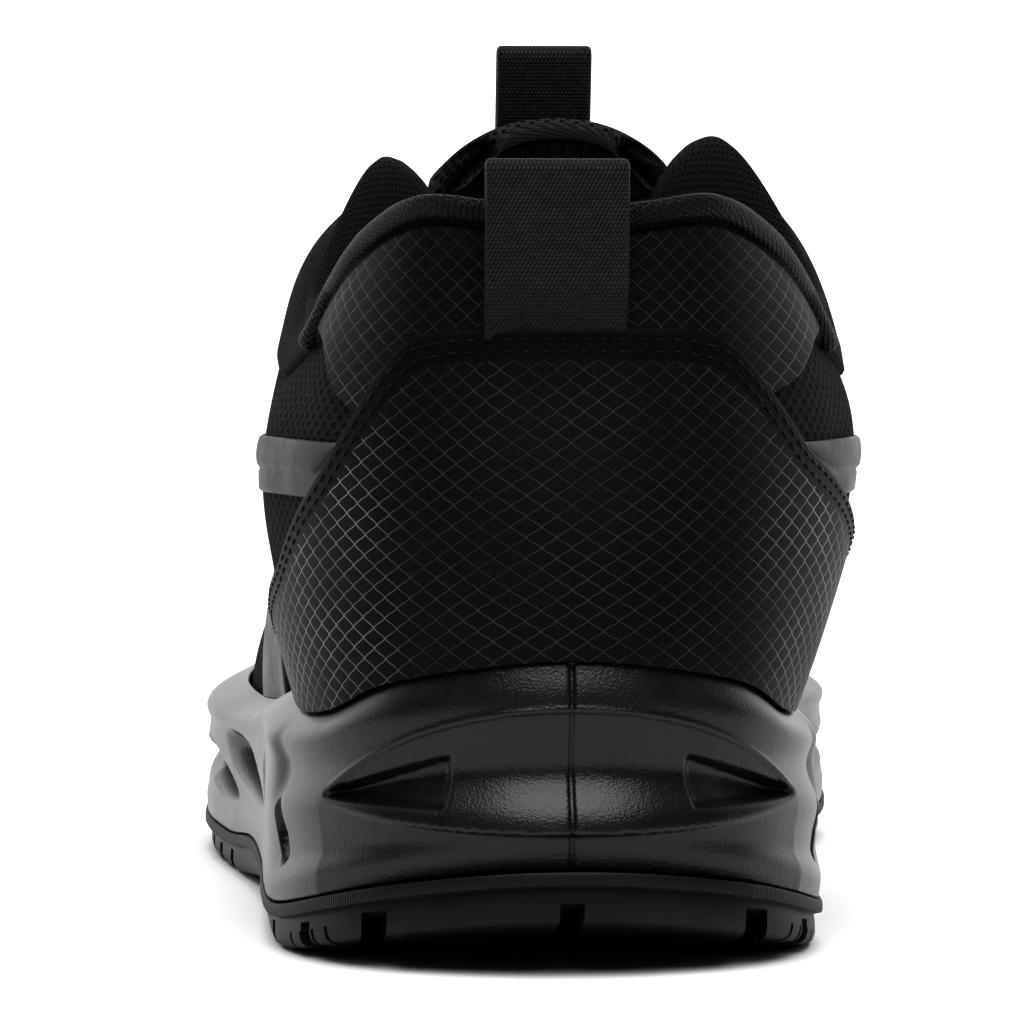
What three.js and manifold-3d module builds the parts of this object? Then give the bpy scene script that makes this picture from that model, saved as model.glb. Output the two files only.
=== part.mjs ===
// A low safety sneaker, the left shoe of a pair, at its real size in millimetres.
// +Y runs from the heel to the toe, +X to the inner (medial) side of the foot, +Z up. The floor is z = 0.
import * as THREE from 'three';
import { mergeVertices } from 'three/addons/utils/BufferGeometryUtils.js';
import Module from 'manifold-3d';

const wasm = await Module();
wasm.setup();

// Driving sizes of the sole
const SOLE_LENGTH = 300;
const BALL_WIDTH = 107;
const HEEL_WIDTH = 82;
const HEEL_STACK = 27;
const BALL_STACK = 18.5;
const TOE_SPRING = 18;
const HEEL_BEVEL = 8.5;
const HEEL_BEVEL_RUN = 45;
const ARCH_LIFT = 2;
const OUTSOLE_WALL = 6.7;
const OUTSOLE_LIP = 0.3;
const RIM_HEIGHT = 44;
const SIDE_RELIEF = 4;
const INSOLE_THICKNESS = 4.5;

// Driving sizes of the upper
const COLLAR_HEIGHT = 109;
const COLLAR_WIDTH = 68;
const FEATHER_INSET = 8.5;
const BELLY = 13;
const SHOULDER = 24;
const UPPER_WALL = 2.4;
const COLLAR_PAD = 8.5;
const TONGUE_THICKNESS = 6;
const TONGUE_RISE = 20;

// Driving sizes of the trim
const OVERLAY_THICKNESS = 1.4;
const HEEL_LOOP_WIDTH = 20;
const TONGUE_LOOP_WIDTH = 15;
const BAND_THICKNESS = 0.9;
const WEBBING_THICKNESS = 1.3;
const LACE_WIDTH = 5;
const LACE_THICKNESS = 1.8;
const EYELET_RADIUS = 2.3;

// Tread
const GROOVE_DEPTH = 3.4;
const GROOVE_WIDTH = 3.4;
const NOTCH_OFFSET = 27;

// The clearance that assembled pieces keep
const GAP = 0.3;
const OVERLAY_LIFT = GAP + 0.1;

// The sole's outline, a row for each section from the heel's back to the toe's tip.
// along: share of the length. ball: how far the row follows the ball's width rather than the heel's.
// lateral, medial: shares of that half width.
// rimLateral, rimMedial: the sidewall's top, shares of the rim's height.
const OUTLINE = [
  { along: 0.0, ball: 0, lateral: 0.0, medial: 0.0, rimLateral: 1.0, rimMedial: 1.0 },
  { along: 0.008, ball: 0, lateral: 0.317, medial: 0.317, rimLateral: 0.98, rimMedial: 0.98 },
  { along: 0.038, ball: 0, lateral: 0.659, medial: 0.659, rimLateral: 0.92, rimMedial: 0.92 },
  { along: 0.085, ball: 0, lateral: 0.878, medial: 0.866, rimLateral: 0.82, rimMedial: 0.82 },
  { along: 0.15, ball: 0, lateral: 0.988, medial: 0.976, rimLateral: 0.79, rimMedial: 0.79 },
  { along: 0.235, ball: 0.15, lateral: 0.956, medial: 0.932, rimLateral: 0.81, rimMedial: 0.83 },
  { along: 0.33, ball: 0.4, lateral: 0.88, medial: 0.837, rimLateral: 0.79, rimMedial: 0.87 },
  { along: 0.425, ball: 0.6, lateral: 0.856, medial: 0.804, rimLateral: 0.7, rimMedial: 0.86 },
  { along: 0.52, ball: 0.8, lateral: 0.863, medial: 0.863, rimLateral: 0.655, rimMedial: 0.75 },
  { along: 0.61, ball: 1, lateral: 0.869, medial: 0.99, rimLateral: 0.65, rimMedial: 0.68 },
  { along: 0.69, ball: 1, lateral: 0.875, medial: 1.12, rimLateral: 0.655, rimMedial: 0.66 },
  { along: 0.765, ball: 1, lateral: 0.832, medial: 1.168, rimLateral: 0.67, rimMedial: 0.67 },
  { along: 0.835, ball: 1, lateral: 0.71, medial: 1.1, rimLateral: 0.71, rimMedial: 0.71 },
  { along: 0.9, ball: 1, lateral: 0.523, medial: 0.935, rimLateral: 0.79, rimMedial: 0.78 },
  { along: 0.95, ball: 1, lateral: 0.299, medial: 0.766, rimLateral: 0.88, rimMedial: 0.87 },
  { along: 0.985, ball: 1, lateral: 0.037, medial: 0.542, rimLateral: 0.94, rimMedial: 0.94 },
  { along: 1.0, ball: 1, lateral: -0.243, medial: 0.243, rimLateral: 0.96, rimMedial: 0.96 },
];

// The upper's wall above the same sections, on the outer (Out) and the inner (In) side of the foot.
// belly, rise: the lower handle of the wall's curve, shares of BELLY and of the wall's height.
// shoulder, dip: the upper handle, shares of SHOULDER and of the height.
// pad: how thick the collar's padding is, a share of COLLAR_PAD.
const WALLS = [
  { bellyOut: 1, bellyIn: 1, rise: 0.33, shoulderOut: -0.25, shoulderIn: -0.25, dip: 0.25, pad: 0.75 },
  { bellyOut: 1, bellyIn: 1, rise: 0.33, shoulderOut: -0.2, shoulderIn: -0.2, dip: 0.25, pad: 0.75 },
  { bellyOut: 0.9, bellyIn: 0.9, rise: 0.33, shoulderOut: -0.05, shoulderIn: -0.05, dip: 0.25, pad: 0.8 },
  { bellyOut: 0.7, bellyIn: 0.75, rise: 0.33, shoulderOut: 0.25, shoulderIn: 0.25, dip: 0.3, pad: 0.9 },
  { bellyOut: 0.5, bellyIn: 0.7, rise: 0.33, shoulderOut: 0.45, shoulderIn: 0.45, dip: 0.35, pad: 1 },
  { bellyOut: 0.4, bellyIn: 0.7, rise: 0.35, shoulderOut: 0.65, shoulderIn: 0.62, dip: 0.3, pad: 1.05 },
  { bellyOut: 0.4, bellyIn: 0.7, rise: 0.35, shoulderOut: 1, shoulderIn: 1.1, dip: 0.22, pad: 1.05 },
  { bellyOut: 0.5, bellyIn: 0.65, rise: 0.33, shoulderOut: 1, shoulderIn: 1.05, dip: 0.1, pad: 0.15 },
  { bellyOut: 0.5, bellyIn: 0.55, rise: 0.35, shoulderOut: 1, shoulderIn: 1, dip: 0.05, pad: 0 },
  { bellyOut: 0.45, bellyIn: 0.45, rise: 0.42, shoulderOut: 1.15, shoulderIn: 1.15, dip: 0.02, pad: 0 },
  { bellyOut: 0.4, bellyIn: 0.4, rise: 0.5, shoulderOut: 1.1, shoulderIn: 1.1, dip: 0, pad: 0 },
  { bellyOut: 0.4, bellyIn: 0.4, rise: 0.58, shoulderOut: 1.05, shoulderIn: 1.05, dip: -0.02, pad: 0 },
  { bellyOut: 0.4, bellyIn: 0.4, rise: 0.66, shoulderOut: 1, shoulderIn: 1, dip: -0.03, pad: 0 },
  { bellyOut: 0.4, bellyIn: 0.4, rise: 0.72, shoulderOut: 0.97, shoulderIn: 0.97, dip: -0.04, pad: 0 },
  { bellyOut: 0.4, bellyIn: 0.4, rise: 0.75, shoulderOut: 0.95, shoulderIn: 0.95, dip: -0.04, pad: 0 },
  { bellyOut: 0.4, bellyIn: 0.4, rise: 0.77, shoulderOut: 0.92, shoulderIn: 0.92, dip: -0.04, pad: 0 },
  { bellyOut: 0.4, bellyIn: 0.4, rise: 0.77, shoulderOut: 0.92, shoulderIn: 0.92, dip: -0.04, pad: 0 },
];
// The wall's top edge. topAlong: how far forward it lies, a share of the length. ridge: the opening's centre
// line, a share of the ball's width. gap: half the opening, a share of COLLAR_WIDTH. topLateral, topMedial:
// the edge's height, shares of COLLAR_HEIGHT.
const TOPLINE = [
  { topAlong: 0.022, ridge: 0, gap: 0, topLateral: 0.963, topMedial: 0.963 },
  { topAlong: 0.024, ridge: 0, gap: 0.16, topLateral: 0.975, topMedial: 0.975 },
  { topAlong: 0.04, ridge: 0.002, gap: 0.3, topLateral: 0.98, topMedial: 0.982 },
  { topAlong: 0.09, ridge: 0.015, gap: 0.415, topLateral: 0.935, topMedial: 0.935 },
  { topAlong: 0.155, ridge: 0.03, gap: 0.5, topLateral: 0.862, topMedial: 0.86 },
  { topAlong: 0.228, ridge: 0.04, gap: 0.54, topLateral: 0.835, topMedial: 0.845 },
  { topAlong: 0.32, ridge: 0.038, gap: 0.365, topLateral: 1.045, topMedial: 1.075 },
  { topAlong: 0.415, ridge: 0.04, gap: 0.222, topLateral: 0.95, topMedial: 0.955 },
  { topAlong: 0.51, ridge: 0.043, gap: 0.17, topLateral: 0.8, topMedial: 0.805 },
  { topAlong: 0.615, ridge: 0.05, gap: 0, topLateral: 0.66, topMedial: 0.66 },
  { topAlong: 0.69, ridge: 0.058, gap: 0, topLateral: 0.618, topMedial: 0.618 },
  { topAlong: 0.745, ridge: 0.068, gap: 0, topLateral: 0.607, topMedial: 0.607 },
  { topAlong: 0.79, ridge: 0.078, gap: 0, topLateral: 0.607, topMedial: 0.607 },
  { topAlong: 0.825, ridge: 0.088, gap: 0, topLateral: 0.607, topMedial: 0.607 },
  { topAlong: 0.848, ridge: 0.094, gap: 0, topLateral: 0.605, topMedial: 0.605 },
  { topAlong: 0.86, ridge: 0.097, gap: 0, topLateral: 0.604, topMedial: 0.604 },
  { topAlong: 0.865, ridge: 0.098, gap: 0, topLateral: 0.603, topMedial: 0.603 },
];
// The collar's highest row and the row where the throat closes
const COLLAR_ROW = 6;
const THROAT_ROW = 9;

// The midsole's sidewall from its foot to its rim: up is a share of its height, out a share of SIDE_RELIEF.
const SIDEWALL = [
  { up: 0, out: -0.12 },
  { up: 0.12, out: 0 },
  { up: 0.25, out: -0.75 },
  { up: 0.48, out: -0.2 },
  { up: 0.72, out: -0.85 },
  { up: 0.87, out: -0.5 },
];
const RIM_LIP = 1.8;

const TOE_ROW = OUTLINE.length - 1;
const LOOP = 2 * TOE_ROW;
const HEEL_PIVOT = 0.14 * SOLE_LENGTH;
const TOE_PIVOT = 0.86 * SOLE_LENGTH;
const TOE_START = 0.68 * SOLE_LENGTH;
const UP = new THREE.Vector3(0, 0, 1);

const lerp = THREE.MathUtils.lerp;
const clamp = THREE.MathUtils.clamp;
const smooth = (x) => THREE.MathUtils.smoothstep(x, 0, 1);

// A value of the tables as a smooth function of the place s round the shoe: 0 is the heel's back,
// TOE_ROW the toe's tip by way of the outer side, and LOOP the heel's back again by way of the inner side.
function roundTheShoe(valueOf) {
  const nodes = Array.from({ length: LOOP }, (_, k) => valueOf(Math.min(k, LOOP - k), k < TOE_ROW ? -1 : 1));
  return (s) => {
    const k = Math.floor(s);
    const f = s - k;
    const [a, b, c, d] = [-1, 0, 1, 2].map((step) => nodes[(k + step + LOOP) % LOOP]);
    const bend = f * f * (2 * a - 5 * b + 4 * c - d) + f * f * f * (3 * b - 3 * c + d - a);
    return b + (f * (c - a) + bend) / 2;
  };
}

const halfWidth = (row) => lerp(HEEL_WIDTH, BALL_WIDTH, OUTLINE[row].ball) / 2;
const edgeX = roundTheShoe((row, side) =>
  side * halfWidth(row) * OUTLINE[row][side < 0 ? 'lateral' : 'medial']);
const edgeY = roundTheShoe((row) => OUTLINE[row].along * SOLE_LENGTH);
const rimHeight = roundTheShoe((row, side) =>
  OUTLINE[row][side < 0 ? 'rimLateral' : 'rimMedial'] * RIM_HEIGHT);
const belly = roundTheShoe((row, side) => WALLS[row][side < 0 ? 'bellyOut' : 'bellyIn'] * BELLY);
const rise = roundTheShoe((row) => WALLS[row].rise);
const shoulder = roundTheShoe((row, side) =>
  WALLS[row][side < 0 ? 'shoulderOut' : 'shoulderIn'] * SHOULDER);
const dip = roundTheShoe((row) => WALLS[row].dip);
const padding = roundTheShoe((row) => WALLS[row].pad * COLLAR_PAD);
const topY = roundTheShoe((row) => TOPLINE[row].topAlong * SOLE_LENGTH);
const ridgeX = roundTheShoe((row) => TOPLINE[row].ridge * BALL_WIDTH);
const halfGap = roundTheShoe((row, side) => side * TOPLINE[row].gap * COLLAR_WIDTH);
const topZ = roundTheShoe((row, side) =>
  TOPLINE[row][side < 0 ? 'topLateral' : 'topMedial'] * COLLAR_HEIGHT);

const wrap = (s) => ((s % LOOP) + LOOP) % LOOP;
const rowAt = (s) => Math.min(wrap(s), LOOP - wrap(s));
const partner = (s) => wrap(-s);
const isClosed = (s) => rowAt(s) >= THROAT_ROW;

// Heights that depend only on how far forward a point lies. The bevel and the spring are power curves, and
// the arch and the footbed's slope each run between two shares of the length.
const BEVEL_POWER = 1.5;
const SPRING_POWER = 1.8;
const ARCH = { from: 0.28, to: 0.54 };
const SLOPE = { from: 0.2, to: 0.6 };
const FOOTBED_SPRING = 0.85;
const within = ({ from, to }, y) => clamp((y / SOLE_LENGTH - from) / (to - from), 0, 1);
const toeSpring = (y) => TOE_SPRING * Math.max(0, (y - TOE_START) / (SOLE_LENGTH - TOE_START)) ** SPRING_POWER;
function ground(y) {
  const bevel = HEEL_BEVEL * Math.max(0, 1 - y / HEEL_BEVEL_RUN) ** BEVEL_POWER;
  return bevel + toeSpring(y) + ARCH_LIFT * Math.sin(Math.PI * within(ARCH, y)) ** 2;
}
const footbed = (y) => lerp(HEEL_STACK, BALL_STACK, smooth(within(SLOPE, y))) + FOOTBED_SPRING * toeSpring(y);
function spineX(y) {
  const middle = (row) => (halfWidth(row) * (OUTLINE[row].medial - OUTLINE[row].lateral)) / 2;
  const next = clamp(OUTLINE.findIndex((row) => row.along * SOLE_LENGTH >= y), 1, TOE_ROW);
  const [from, to] = [OUTLINE[next - 1].along * SOLE_LENGTH, OUTLINE[next].along * SOLE_LENGTH];
  return lerp(middle(next - 1), middle(next), (y - from) / (to - from));
}

// A spoke runs level from the sole's spine to its edge: straight across between the pivots, and
// fanned out round the heel and the toe.
function spoke(s) {
  const edge = new THREE.Vector3(edgeX(s), edgeY(s), 0);
  const y = clamp(edge.y, HEEL_PIVOT, TOE_PIVOT);
  const spine = new THREE.Vector3(spineX(y), y, 0);
  const reach = edge.distanceTo(spine);
  const out = edge.clone().sub(spine).normalize();
  const at = (radius, z) => {
    const p = spine.clone().addScaledVector(out, radius);
    p.z = typeof z === 'function' ? z(p.y) : z;
    return p;
  };
  return { out, reach, at };
}

// The upper's outer face: s goes round the shoe and t climbs from the feather edge to the top edge.
function topEdge(s) {
  const point = (at) => new THREE.Vector3(ridgeX(at) + (isClosed(at) ? 0 : halfGap(at)), topY(at), topZ(at));
  return isClosed(s) ? point(s).lerp(point(partner(s)), 0.5) : point(s);
}
function upperFace(s, t) {
  const { out, reach, at } = spoke(s);
  const foot = at(reach - FEATHER_INSET, (y) => footbed(y) + GAP);
  const top = topEdge(s);
  const height = top.z - foot.z;
  const low = foot.clone().addScaledVector(out, belly(s)).addScaledVector(UP, rise(s) * height);
  const high = top.clone().addScaledVector(out, shoulder(s)).addScaledVector(UP, -dip(s) * height);
  return new THREE.CubicBezierCurve3(foot, low, high, top).getPoint(t);
}
function faceNormal(s, t) {
  const step = 0.02;
  const place = Math.min(t, 1 - 1.5 * step);
  const [down, up] = [Math.max(0, place - step), place + step];
  const level = (down + up) / 2;
  const alongFace = upperFace(s + step, level).sub(upperFace(s - step, level));
  return upperFace(s, up).sub(upperFace(s, down)).cross(alongFace).normalize();
}
function outward(s, t) {
  const normal = faceNormal(s, t);
  return t === 1 && isClosed(s) ? normal.add(faceNormal(partner(s), t)).normalize() : normal;
}
const offFace = (s, t, distance) => upperFace(s, t).addScaledVector(outward(s, t), distance);
const PAD_RAMP = { from: 0.5, to: 0.85 };
const wallAt = (s, t) =>
  UPPER_WALL + padding(s) * smooth((t - PAD_RAMP.from) / (PAD_RAMP.to - PAD_RAMP.from));
function lining(s, t) {
  const point = offFace(s, t, -wallAt(s, t));
  point.z = Math.max(point.z, footbed(point.y) + GAP);
  return point;
}

// The t at which the upper's face reaches a height
function levelAt(s, z) {
  let [low, high] = [0, 1];
  for (let pass = 0; pass < 24; pass++) {
    const middle = (low + high) / 2;
    if (upperFace(s, middle).z < z) low = middle;
    else high = middle;
  }
  return low;
}

// A closed solid from a list of quads and triangles, with shared corners merged
function solidFrom(faces) {
  const corners = faces.flatMap(([a, b, c, d]) => (d ? [a, b, c, a, c, d] : [a, b, c]));
  const geometry = mergeVertices(new THREE.BufferGeometry().setFromPoints(corners), 1e-3);
  const index = geometry.index.array;
  const kept = [];
  for (let i = 0; i < index.length; i += 3) {
    const [a, b, c] = index.slice(i, i + 3);
    if (a !== b && b !== c && c !== a) kept.push(a, b, c);
  }
  const vertProperties = geometry.attributes.position.array;
  const solid = (order) =>
    new wasm.Manifold(new wasm.Mesh({ numProp: 3, vertProperties, triVerts: new Uint32Array(order) }));
  return solid(kept).volume() < 0 ? solid(kept.reverse()) : solid(kept);
}
function solidOf(geometry) {
  const plain = geometry.index ? geometry.toNonIndexed() : geometry;
  const { array } = plain.attributes.position;
  const corner = (i) => new THREE.Vector3().fromArray(array, 3 * i);
  const corners = Array.from({ length: array.length / 3 }, (_, i) => corner(i));
  return solidFrom(Array.from({ length: corners.length / 3 }, (_, f) => corners.slice(3 * f, 3 * f + 3)));
}

// Quads between neighbouring lists of points. keep(i, j) may leave a quad out.
function quads(lists, { closed = false, keep = () => true } = {}) {
  const faces = [];
  const last = closed ? lists.length : lists.length - 1;
  for (let i = 0; i < last; i++) {
    const [a, b] = [lists[i], lists[(i + 1) % lists.length]];
    for (let j = 0; j + 1 < a.length; j++) if (keep(i, j)) faces.push([a[j], a[j + 1], b[j + 1], b[j]]);
  }
  return faces;
}
// An end cap for a ring with an even count of corners, its two long sides joined rung by rung
function cap(ring) {
  const rung = (_, j) => [ring[j], ring[j + 1], ring.at(-2 - j), ring.at(-1 - j)];
  return Array.from({ length: ring.length / 2 - 1 }, rung);
}

// A solid swept through equal rings of points, closed at both ends
function sweep(rings) {
  const lists = rings.map((ring) => [...ring, ring[0]]);
  return solidFrom([...quads(lists), ...cap([...rings[0]].reverse()), ...cap(rings.at(-1))]);
}
// A sheet of points with a thickness: under(i, j) gives the back of each point.
function slab(sheet, under) {
  const rings = sheet.map((row, i) => [...row, ...row.map((_, j) => under(i, j)).reverse()]);
  return sweep(rings);
}

// The places round the shoe where sections are built, closer together along the collar
function stations() {
  const half = Array.from({ length: TOE_ROW }, (_, row) => {
    const steps = row >= 2 && row < COLLAR_ROW ? 3 : 2;
    return Array.from({ length: steps }, (_, i) => row + i / steps);
  }).flat();
  return [...half, TOE_ROW, ...half.slice(1).reverse().map(partner)];
}
const spokes = stations();

const TREAD_ROUND = 1.6;
const TREAD_BREAK = 0.6;
function outsole() {
  const top = (y) => ground(y) + OUTSOLE_WALL;
  const shoulder = (y) => ground(y) + TREAD_ROUND;
  const profile = (s) => {
    const { reach, at } = spoke(s);
    return [
      at(0, ground), at(TREAD_BREAK * reach, ground), at(reach - TREAD_ROUND, ground),
      at(reach, shoulder), at(reach + OUTSOLE_LIP, top), at(0, top),
    ];
  };
  const block = solidFrom(quads(spokes.map(profile), { closed: true }));
  return block.subtract(wasm.Manifold.union(treadGrooves()));
}

// A channel cut up into the tread along a path of [x, y] points
function channel(path, width) {
  const rings = path.map(([x, y], i) => {
    const [from, to] = [path[Math.max(0, i - 1)], path[Math.min(path.length - 1, i + 1)]];
    const across = new THREE.Vector2(to[1] - from[1], from[0] - to[0]).normalize().multiplyScalar(width / 2);
    const corner = (side, rise) => {
      const place = y + side * across.y;
      return new THREE.Vector3(x + side * across.x, place, ground(Math.max(0, place)) + rise);
    };
    const [below, roof] = [-GROOVE_DEPTH, GROOVE_DEPTH];
    return [corner(-1, below), corner(1, below), corner(1, roof), corner(-1, roof)];
  });
  return sweep(rings);
}
// The tread's grooves as shares of the length: those along the heel, the one along the ball, and the chevrons
const HEEL_GROOVE = [-0.02, 0.04, 0.09, 0.15, 0.26];
const BALL_GROOVE = [0.6, 0.68, 0.76, 0.84, 0.92];
const CHEVRONS = [0.115, 0.185, 0.56, 0.61, 0.66, 0.71, 0.76, 0.81, 0.86, 0.91];
const CHEVRON_SWEEP = 0.06 * SOLE_LENGTH;
function treadGrooves() {
  const heel = [-NOTCH_OFFSET, 0, NOTCH_OFFSET].map((x) =>
    channel(HEEL_GROOVE.map((share) => [x, share * SOLE_LENGTH]), GROOVE_WIDTH));
  const flex = BALL_GROOVE.map((share) => share * SOLE_LENGTH);
  const ball = channel(flex.map((y) => [spineX(y), y]), GROOVE_WIDTH);
  const across = CHEVRONS.map((share) => {
    const y = share * SOLE_LENGTH;
    const side = (x) => [x, y - CHEVRON_SWEEP];
    return channel([side(-BALL_WIDTH), [spineX(y), y], side(BALL_WIDTH)], GROOVE_WIDTH);
  });
  return [...heel, ball, ...across];
}

// The long slanted grooves moulded into the midsole's side. row: the section at its middle, span: how many
// sections it reaches each way. level, tall, deep: its height and half section, shares of the height there.
const GROOVES = [
  { row: 5.3, span: 0.65, level: 0.52, tall: 0.12, deep: 0.12 },
  { row: 7.15, span: 1.2, level: 0.5, tall: 0.13, deep: 0.16 },
  { row: 8.75, span: 1.1, level: 0.42, tall: 0.14, deep: 0.17 },
  { row: 10.3, span: 1.1, level: 0.43, tall: 0.14, deep: 0.17 },
  { row: 11.9, span: 0.95, level: 0.45, tall: 0.14, deep: 0.15 },
];
const GROOVE_RISE = 0.1;
const GROOVE_TAPER = [0.15, 0.75, 1, 0.75, 0.15];
const GROOVE_FLOOR = 0.2;
// The upright slot near the heel: its section, its level, and its half sizes as shares of the sidewall's height
const SLOT = { row: 3.78, level: 0.37, tall: 0.17, wide: 0.09, deep: 0.24 };

function midsole() {
  const under = (y) => ground(y) + OUTSOLE_WALL + GAP;
  const profile = (s) => {
    const { reach, at } = spoke(s);
    const height = (up) => (y) => lerp(under(y), rimHeight(s), up);
    const wall = SIDEWALL.map(({ up, out }) => at(reach + out * SIDE_RELIEF, height(up)));
    const rim = levelAt(s, rimHeight(s));
    const cup = [1, 2 / 3, 1 / 3].map((share) => offFace(s, share * rim, OVERLAY_LIFT));
    return [
      at(0, under), ...wall, offFace(s, rim, GAP + RIM_LIP),
      ...cup, at(reach - FEATHER_INSET + 2 * GAP, footbed), at(0, footbed),
    ];
  };
  const body = solidFrom(quads(spokes.map(profile), { closed: true }));
  const grooves = GROOVES.flatMap((groove) => [sideGroove(1, groove), sideGroove(-1, groove)]);
  const slots = [SLOT.row, partner(SLOT.row)].map(sideSlot);
  return body.subtract(wasm.Manifold.union([...grooves, ...slots, heelPocket(1), heelPocket(-1)]));
}
// The wedge-shaped pocket on each side of the heel's back, broad towards the middle and pointed outwards
const POCKET = { from: 1.3, to: 2.75, bottom: 0.35, top: 0.6, taper: 0.85, depth: 3 };
function heelPocket(side) {
  const rings = [0, 0.5, 1].map((share) => {
    const s = side * lerp(POCKET.from, POCKET.to, share);
    const { reach, at } = spoke(s);
    const middle = (POCKET.bottom + POCKET.top) / 2;
    const level = (end) => lerp(end, middle, POCKET.taper * share);
    const height = (end) => (y) => lerp(ground(y) + OUTSOLE_WALL, rimHeight(s), level(end));
    const [low, high] = [height(POCKET.bottom), height(POCKET.top)];
    const [inner, outer] = [reach - POCKET.depth * lerp(1, 2 / 3, share), reach + POCKET.depth];
    return [at(inner, low), at(outer, low), at(outer, high), at(inner, high)];
  });
  return sweep(rings);
}
function sideGroove(side, { row, span, level, tall, deep }) {
  const rings = GROOVE_TAPER.map((share, i) => {
    const ahead = lerp(-span, span, i / (GROOVE_TAPER.length - 1));
    const s = side * (row + ahead);
    const { reach, at } = spoke(s);
    const low = ground(edgeY(s)) + OUTSOLE_WALL;
    const height = rimHeight(s) - low;
    const middle = low + (level + GROOVE_RISE * ahead) * height;
    const depth = SIDE_RELIEF / 2 + share * deep * height;
    const half = share * tall * height * (depth + SIDE_RELIEF) / depth;
    const floor = GROOVE_FLOOR * half;
    const [inner, outer] = [reach - depth, reach + SIDE_RELIEF];
    return [
      at(inner, middle - floor), at(outer, middle - half), at(outer, middle + half), at(inner, middle + floor),
    ];
  });
  return sweep(rings);
}
function sideSlot(s) {
  const { out, reach, at } = spoke(s);
  const low = ground(edgeY(s)) + OUTSOLE_WALL;
  const height = rimHeight(s) - low;
  const { level, tall, wide, deep } = SLOT;
  const frame = new THREE.Matrix4().makeBasis(
    new THREE.Vector3().crossVectors(UP, out).multiplyScalar(wide * height),
    UP.clone().multiplyScalar(tall * height),
    out.clone().multiplyScalar(deep * height),
  );
  if (frame.determinant() < 0) frame.scale(new THREE.Vector3(-1, 1, 1));
  const ball = new THREE.SphereGeometry(1, 6, 5).applyMatrix4(frame);
  const centre = at(reach, low + level * height);
  return solidOf(ball.translate(centre.x, centre.y, centre.z));
}

function insole() {
  const edge = FEATHER_INSET + UPPER_WALL + 4 * GAP;
  const bottom = (y) => footbed(y) + GAP;
  const top = (y) => footbed(y) + GAP + INSOLE_THICKNESS;
  const profile = (s) => {
    const { reach, at } = spoke(s);
    return [at(0, bottom), at(reach - edge, bottom), at(reach - edge, top), at(reach / 2, top), at(0, top)];
  };
  return solidFrom(quads(spokes.map(profile), { closed: true }));
}

// The upper: outer face, padded collar roll, lining and feather edge, in one closed skin
const FACE_LEVELS = [0, 0.13, 0.28, 0.44, 0.6, 0.75, 0.88, 1];
const ROLL_RISE = 0.4;
function upper() {
  const profile = (s) => {
    const outer = FACE_LEVELS.map((t) => upperFace(s, t));
    const inner = FACE_LEVELS.map((t) => lining(s, t)).reverse();
    const roll = outer.at(-1).clone().lerp(inner[0], 0.5);
    if (!isClosed(s)) roll.addScaledVector(UP, ROLL_RISE * padding(s));
    return [...outer, roll, ...inner, outer[0]];
  };
  const rim = [FACE_LEVELS.length - 1, FACE_LEVELS.length];
  const shut = (i) => isClosed(spokes[i]) && isClosed(spokes[(i + 1) % spokes.length]);
  const keep = (i, j) => !rim.includes(j) || !shut(i);
  return solidFrom(quads(spokes.map(profile), { closed: true, keep }));
}

// A point on the upper as it is built, between its sections and levels, and lifted off it by a distance
function onUpper(s, t, lift) {
  const place = wrap(s);
  const next = spokes.findIndex((station) => station > place + 1e-9);
  const [from, to] = next < 0 ? [spokes.at(-1), LOOP] : [spokes[next - 1], spokes[next]];
  const level = Math.max(1, FACE_LEVELS.findIndex((value) => value >= t - 1e-9));
  const [low, high] = [FACE_LEVELS[level - 1], FACE_LEVELS[level]];
  const share = (t - low) / (high - low);
  const across = (station) => upperFace(station, low).lerp(upperFace(station, high), share);
  const point = across(from).lerp(across(to), (place - from) / (to - from));
  const normal = outward(s, t);
  const bulge = Math.max(0, upperFace(s, t).sub(point).dot(normal));
  return point.addScaledVector(normal, bulge + lift);
}
// A sheet that lies on the upper from one place round the shoe to another, between two edges given as levels
const SHEET = { columns: 4, thickness: OVERLAY_THICKNESS, lift: OVERLAY_LIFT };
const LEAST_STEP = 0.12;
function overlay(from, to, lowEdge, highEdge, options) {
  const { columns, thickness, lift } = { ...SHEET, ...options };
  const turns = [-LOOP, 0].flatMap((turn) => spokes.map((s) => s + turn));
  const places = [from, ...turns.filter((s) => s > from + LEAST_STEP && s < to - LEAST_STEP), to];
  const point = (s, j, height) => onUpper(s, lerp(lowEdge(s), highEdge(s), j / columns), height);
  const row = (s) => Array.from({ length: columns + 1 }, (_, j) => point(s, j, lift + thickness));
  return slab(places.map(row), (i, j) => point(places[i], j, lift));
}

// Edges of the trim at the rows they cross, as shares of COLLAR_HEIGHT
const COUNTER_EDGE = [
  { row: 0, lateral: 0.815, medial: 0.815 },
  { row: 1.5, lateral: 0.81, medial: 0.812 },
  { row: 2, lateral: 0.795, medial: 0.8 },
  { row: 2.33, lateral: 0.75, medial: 0.765 },
  { row: 3, lateral: 0.635, medial: 0.67 },
  { row: 4, lateral: 0.52, medial: 0.6 },
  { row: 5, lateral: 0.45, medial: 0.53 },
  { row: 6, lateral: 0.375, medial: 0.44 },
];
const COUNTER_END = 6;
const PANEL_EDGE = [
  { row: 0, lateral: 0.81, medial: 0.81 },
  { row: 2.5, lateral: 0.71, medial: 0.74 },
  { row: 3, lateral: 0.745, medial: 0.765 },
  { row: 3.4, lateral: 0.81, medial: 0.81 },
  { row: 4.1, lateral: 0.835, medial: 0.835 },
];
const PANEL_END = 4.1;
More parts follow.
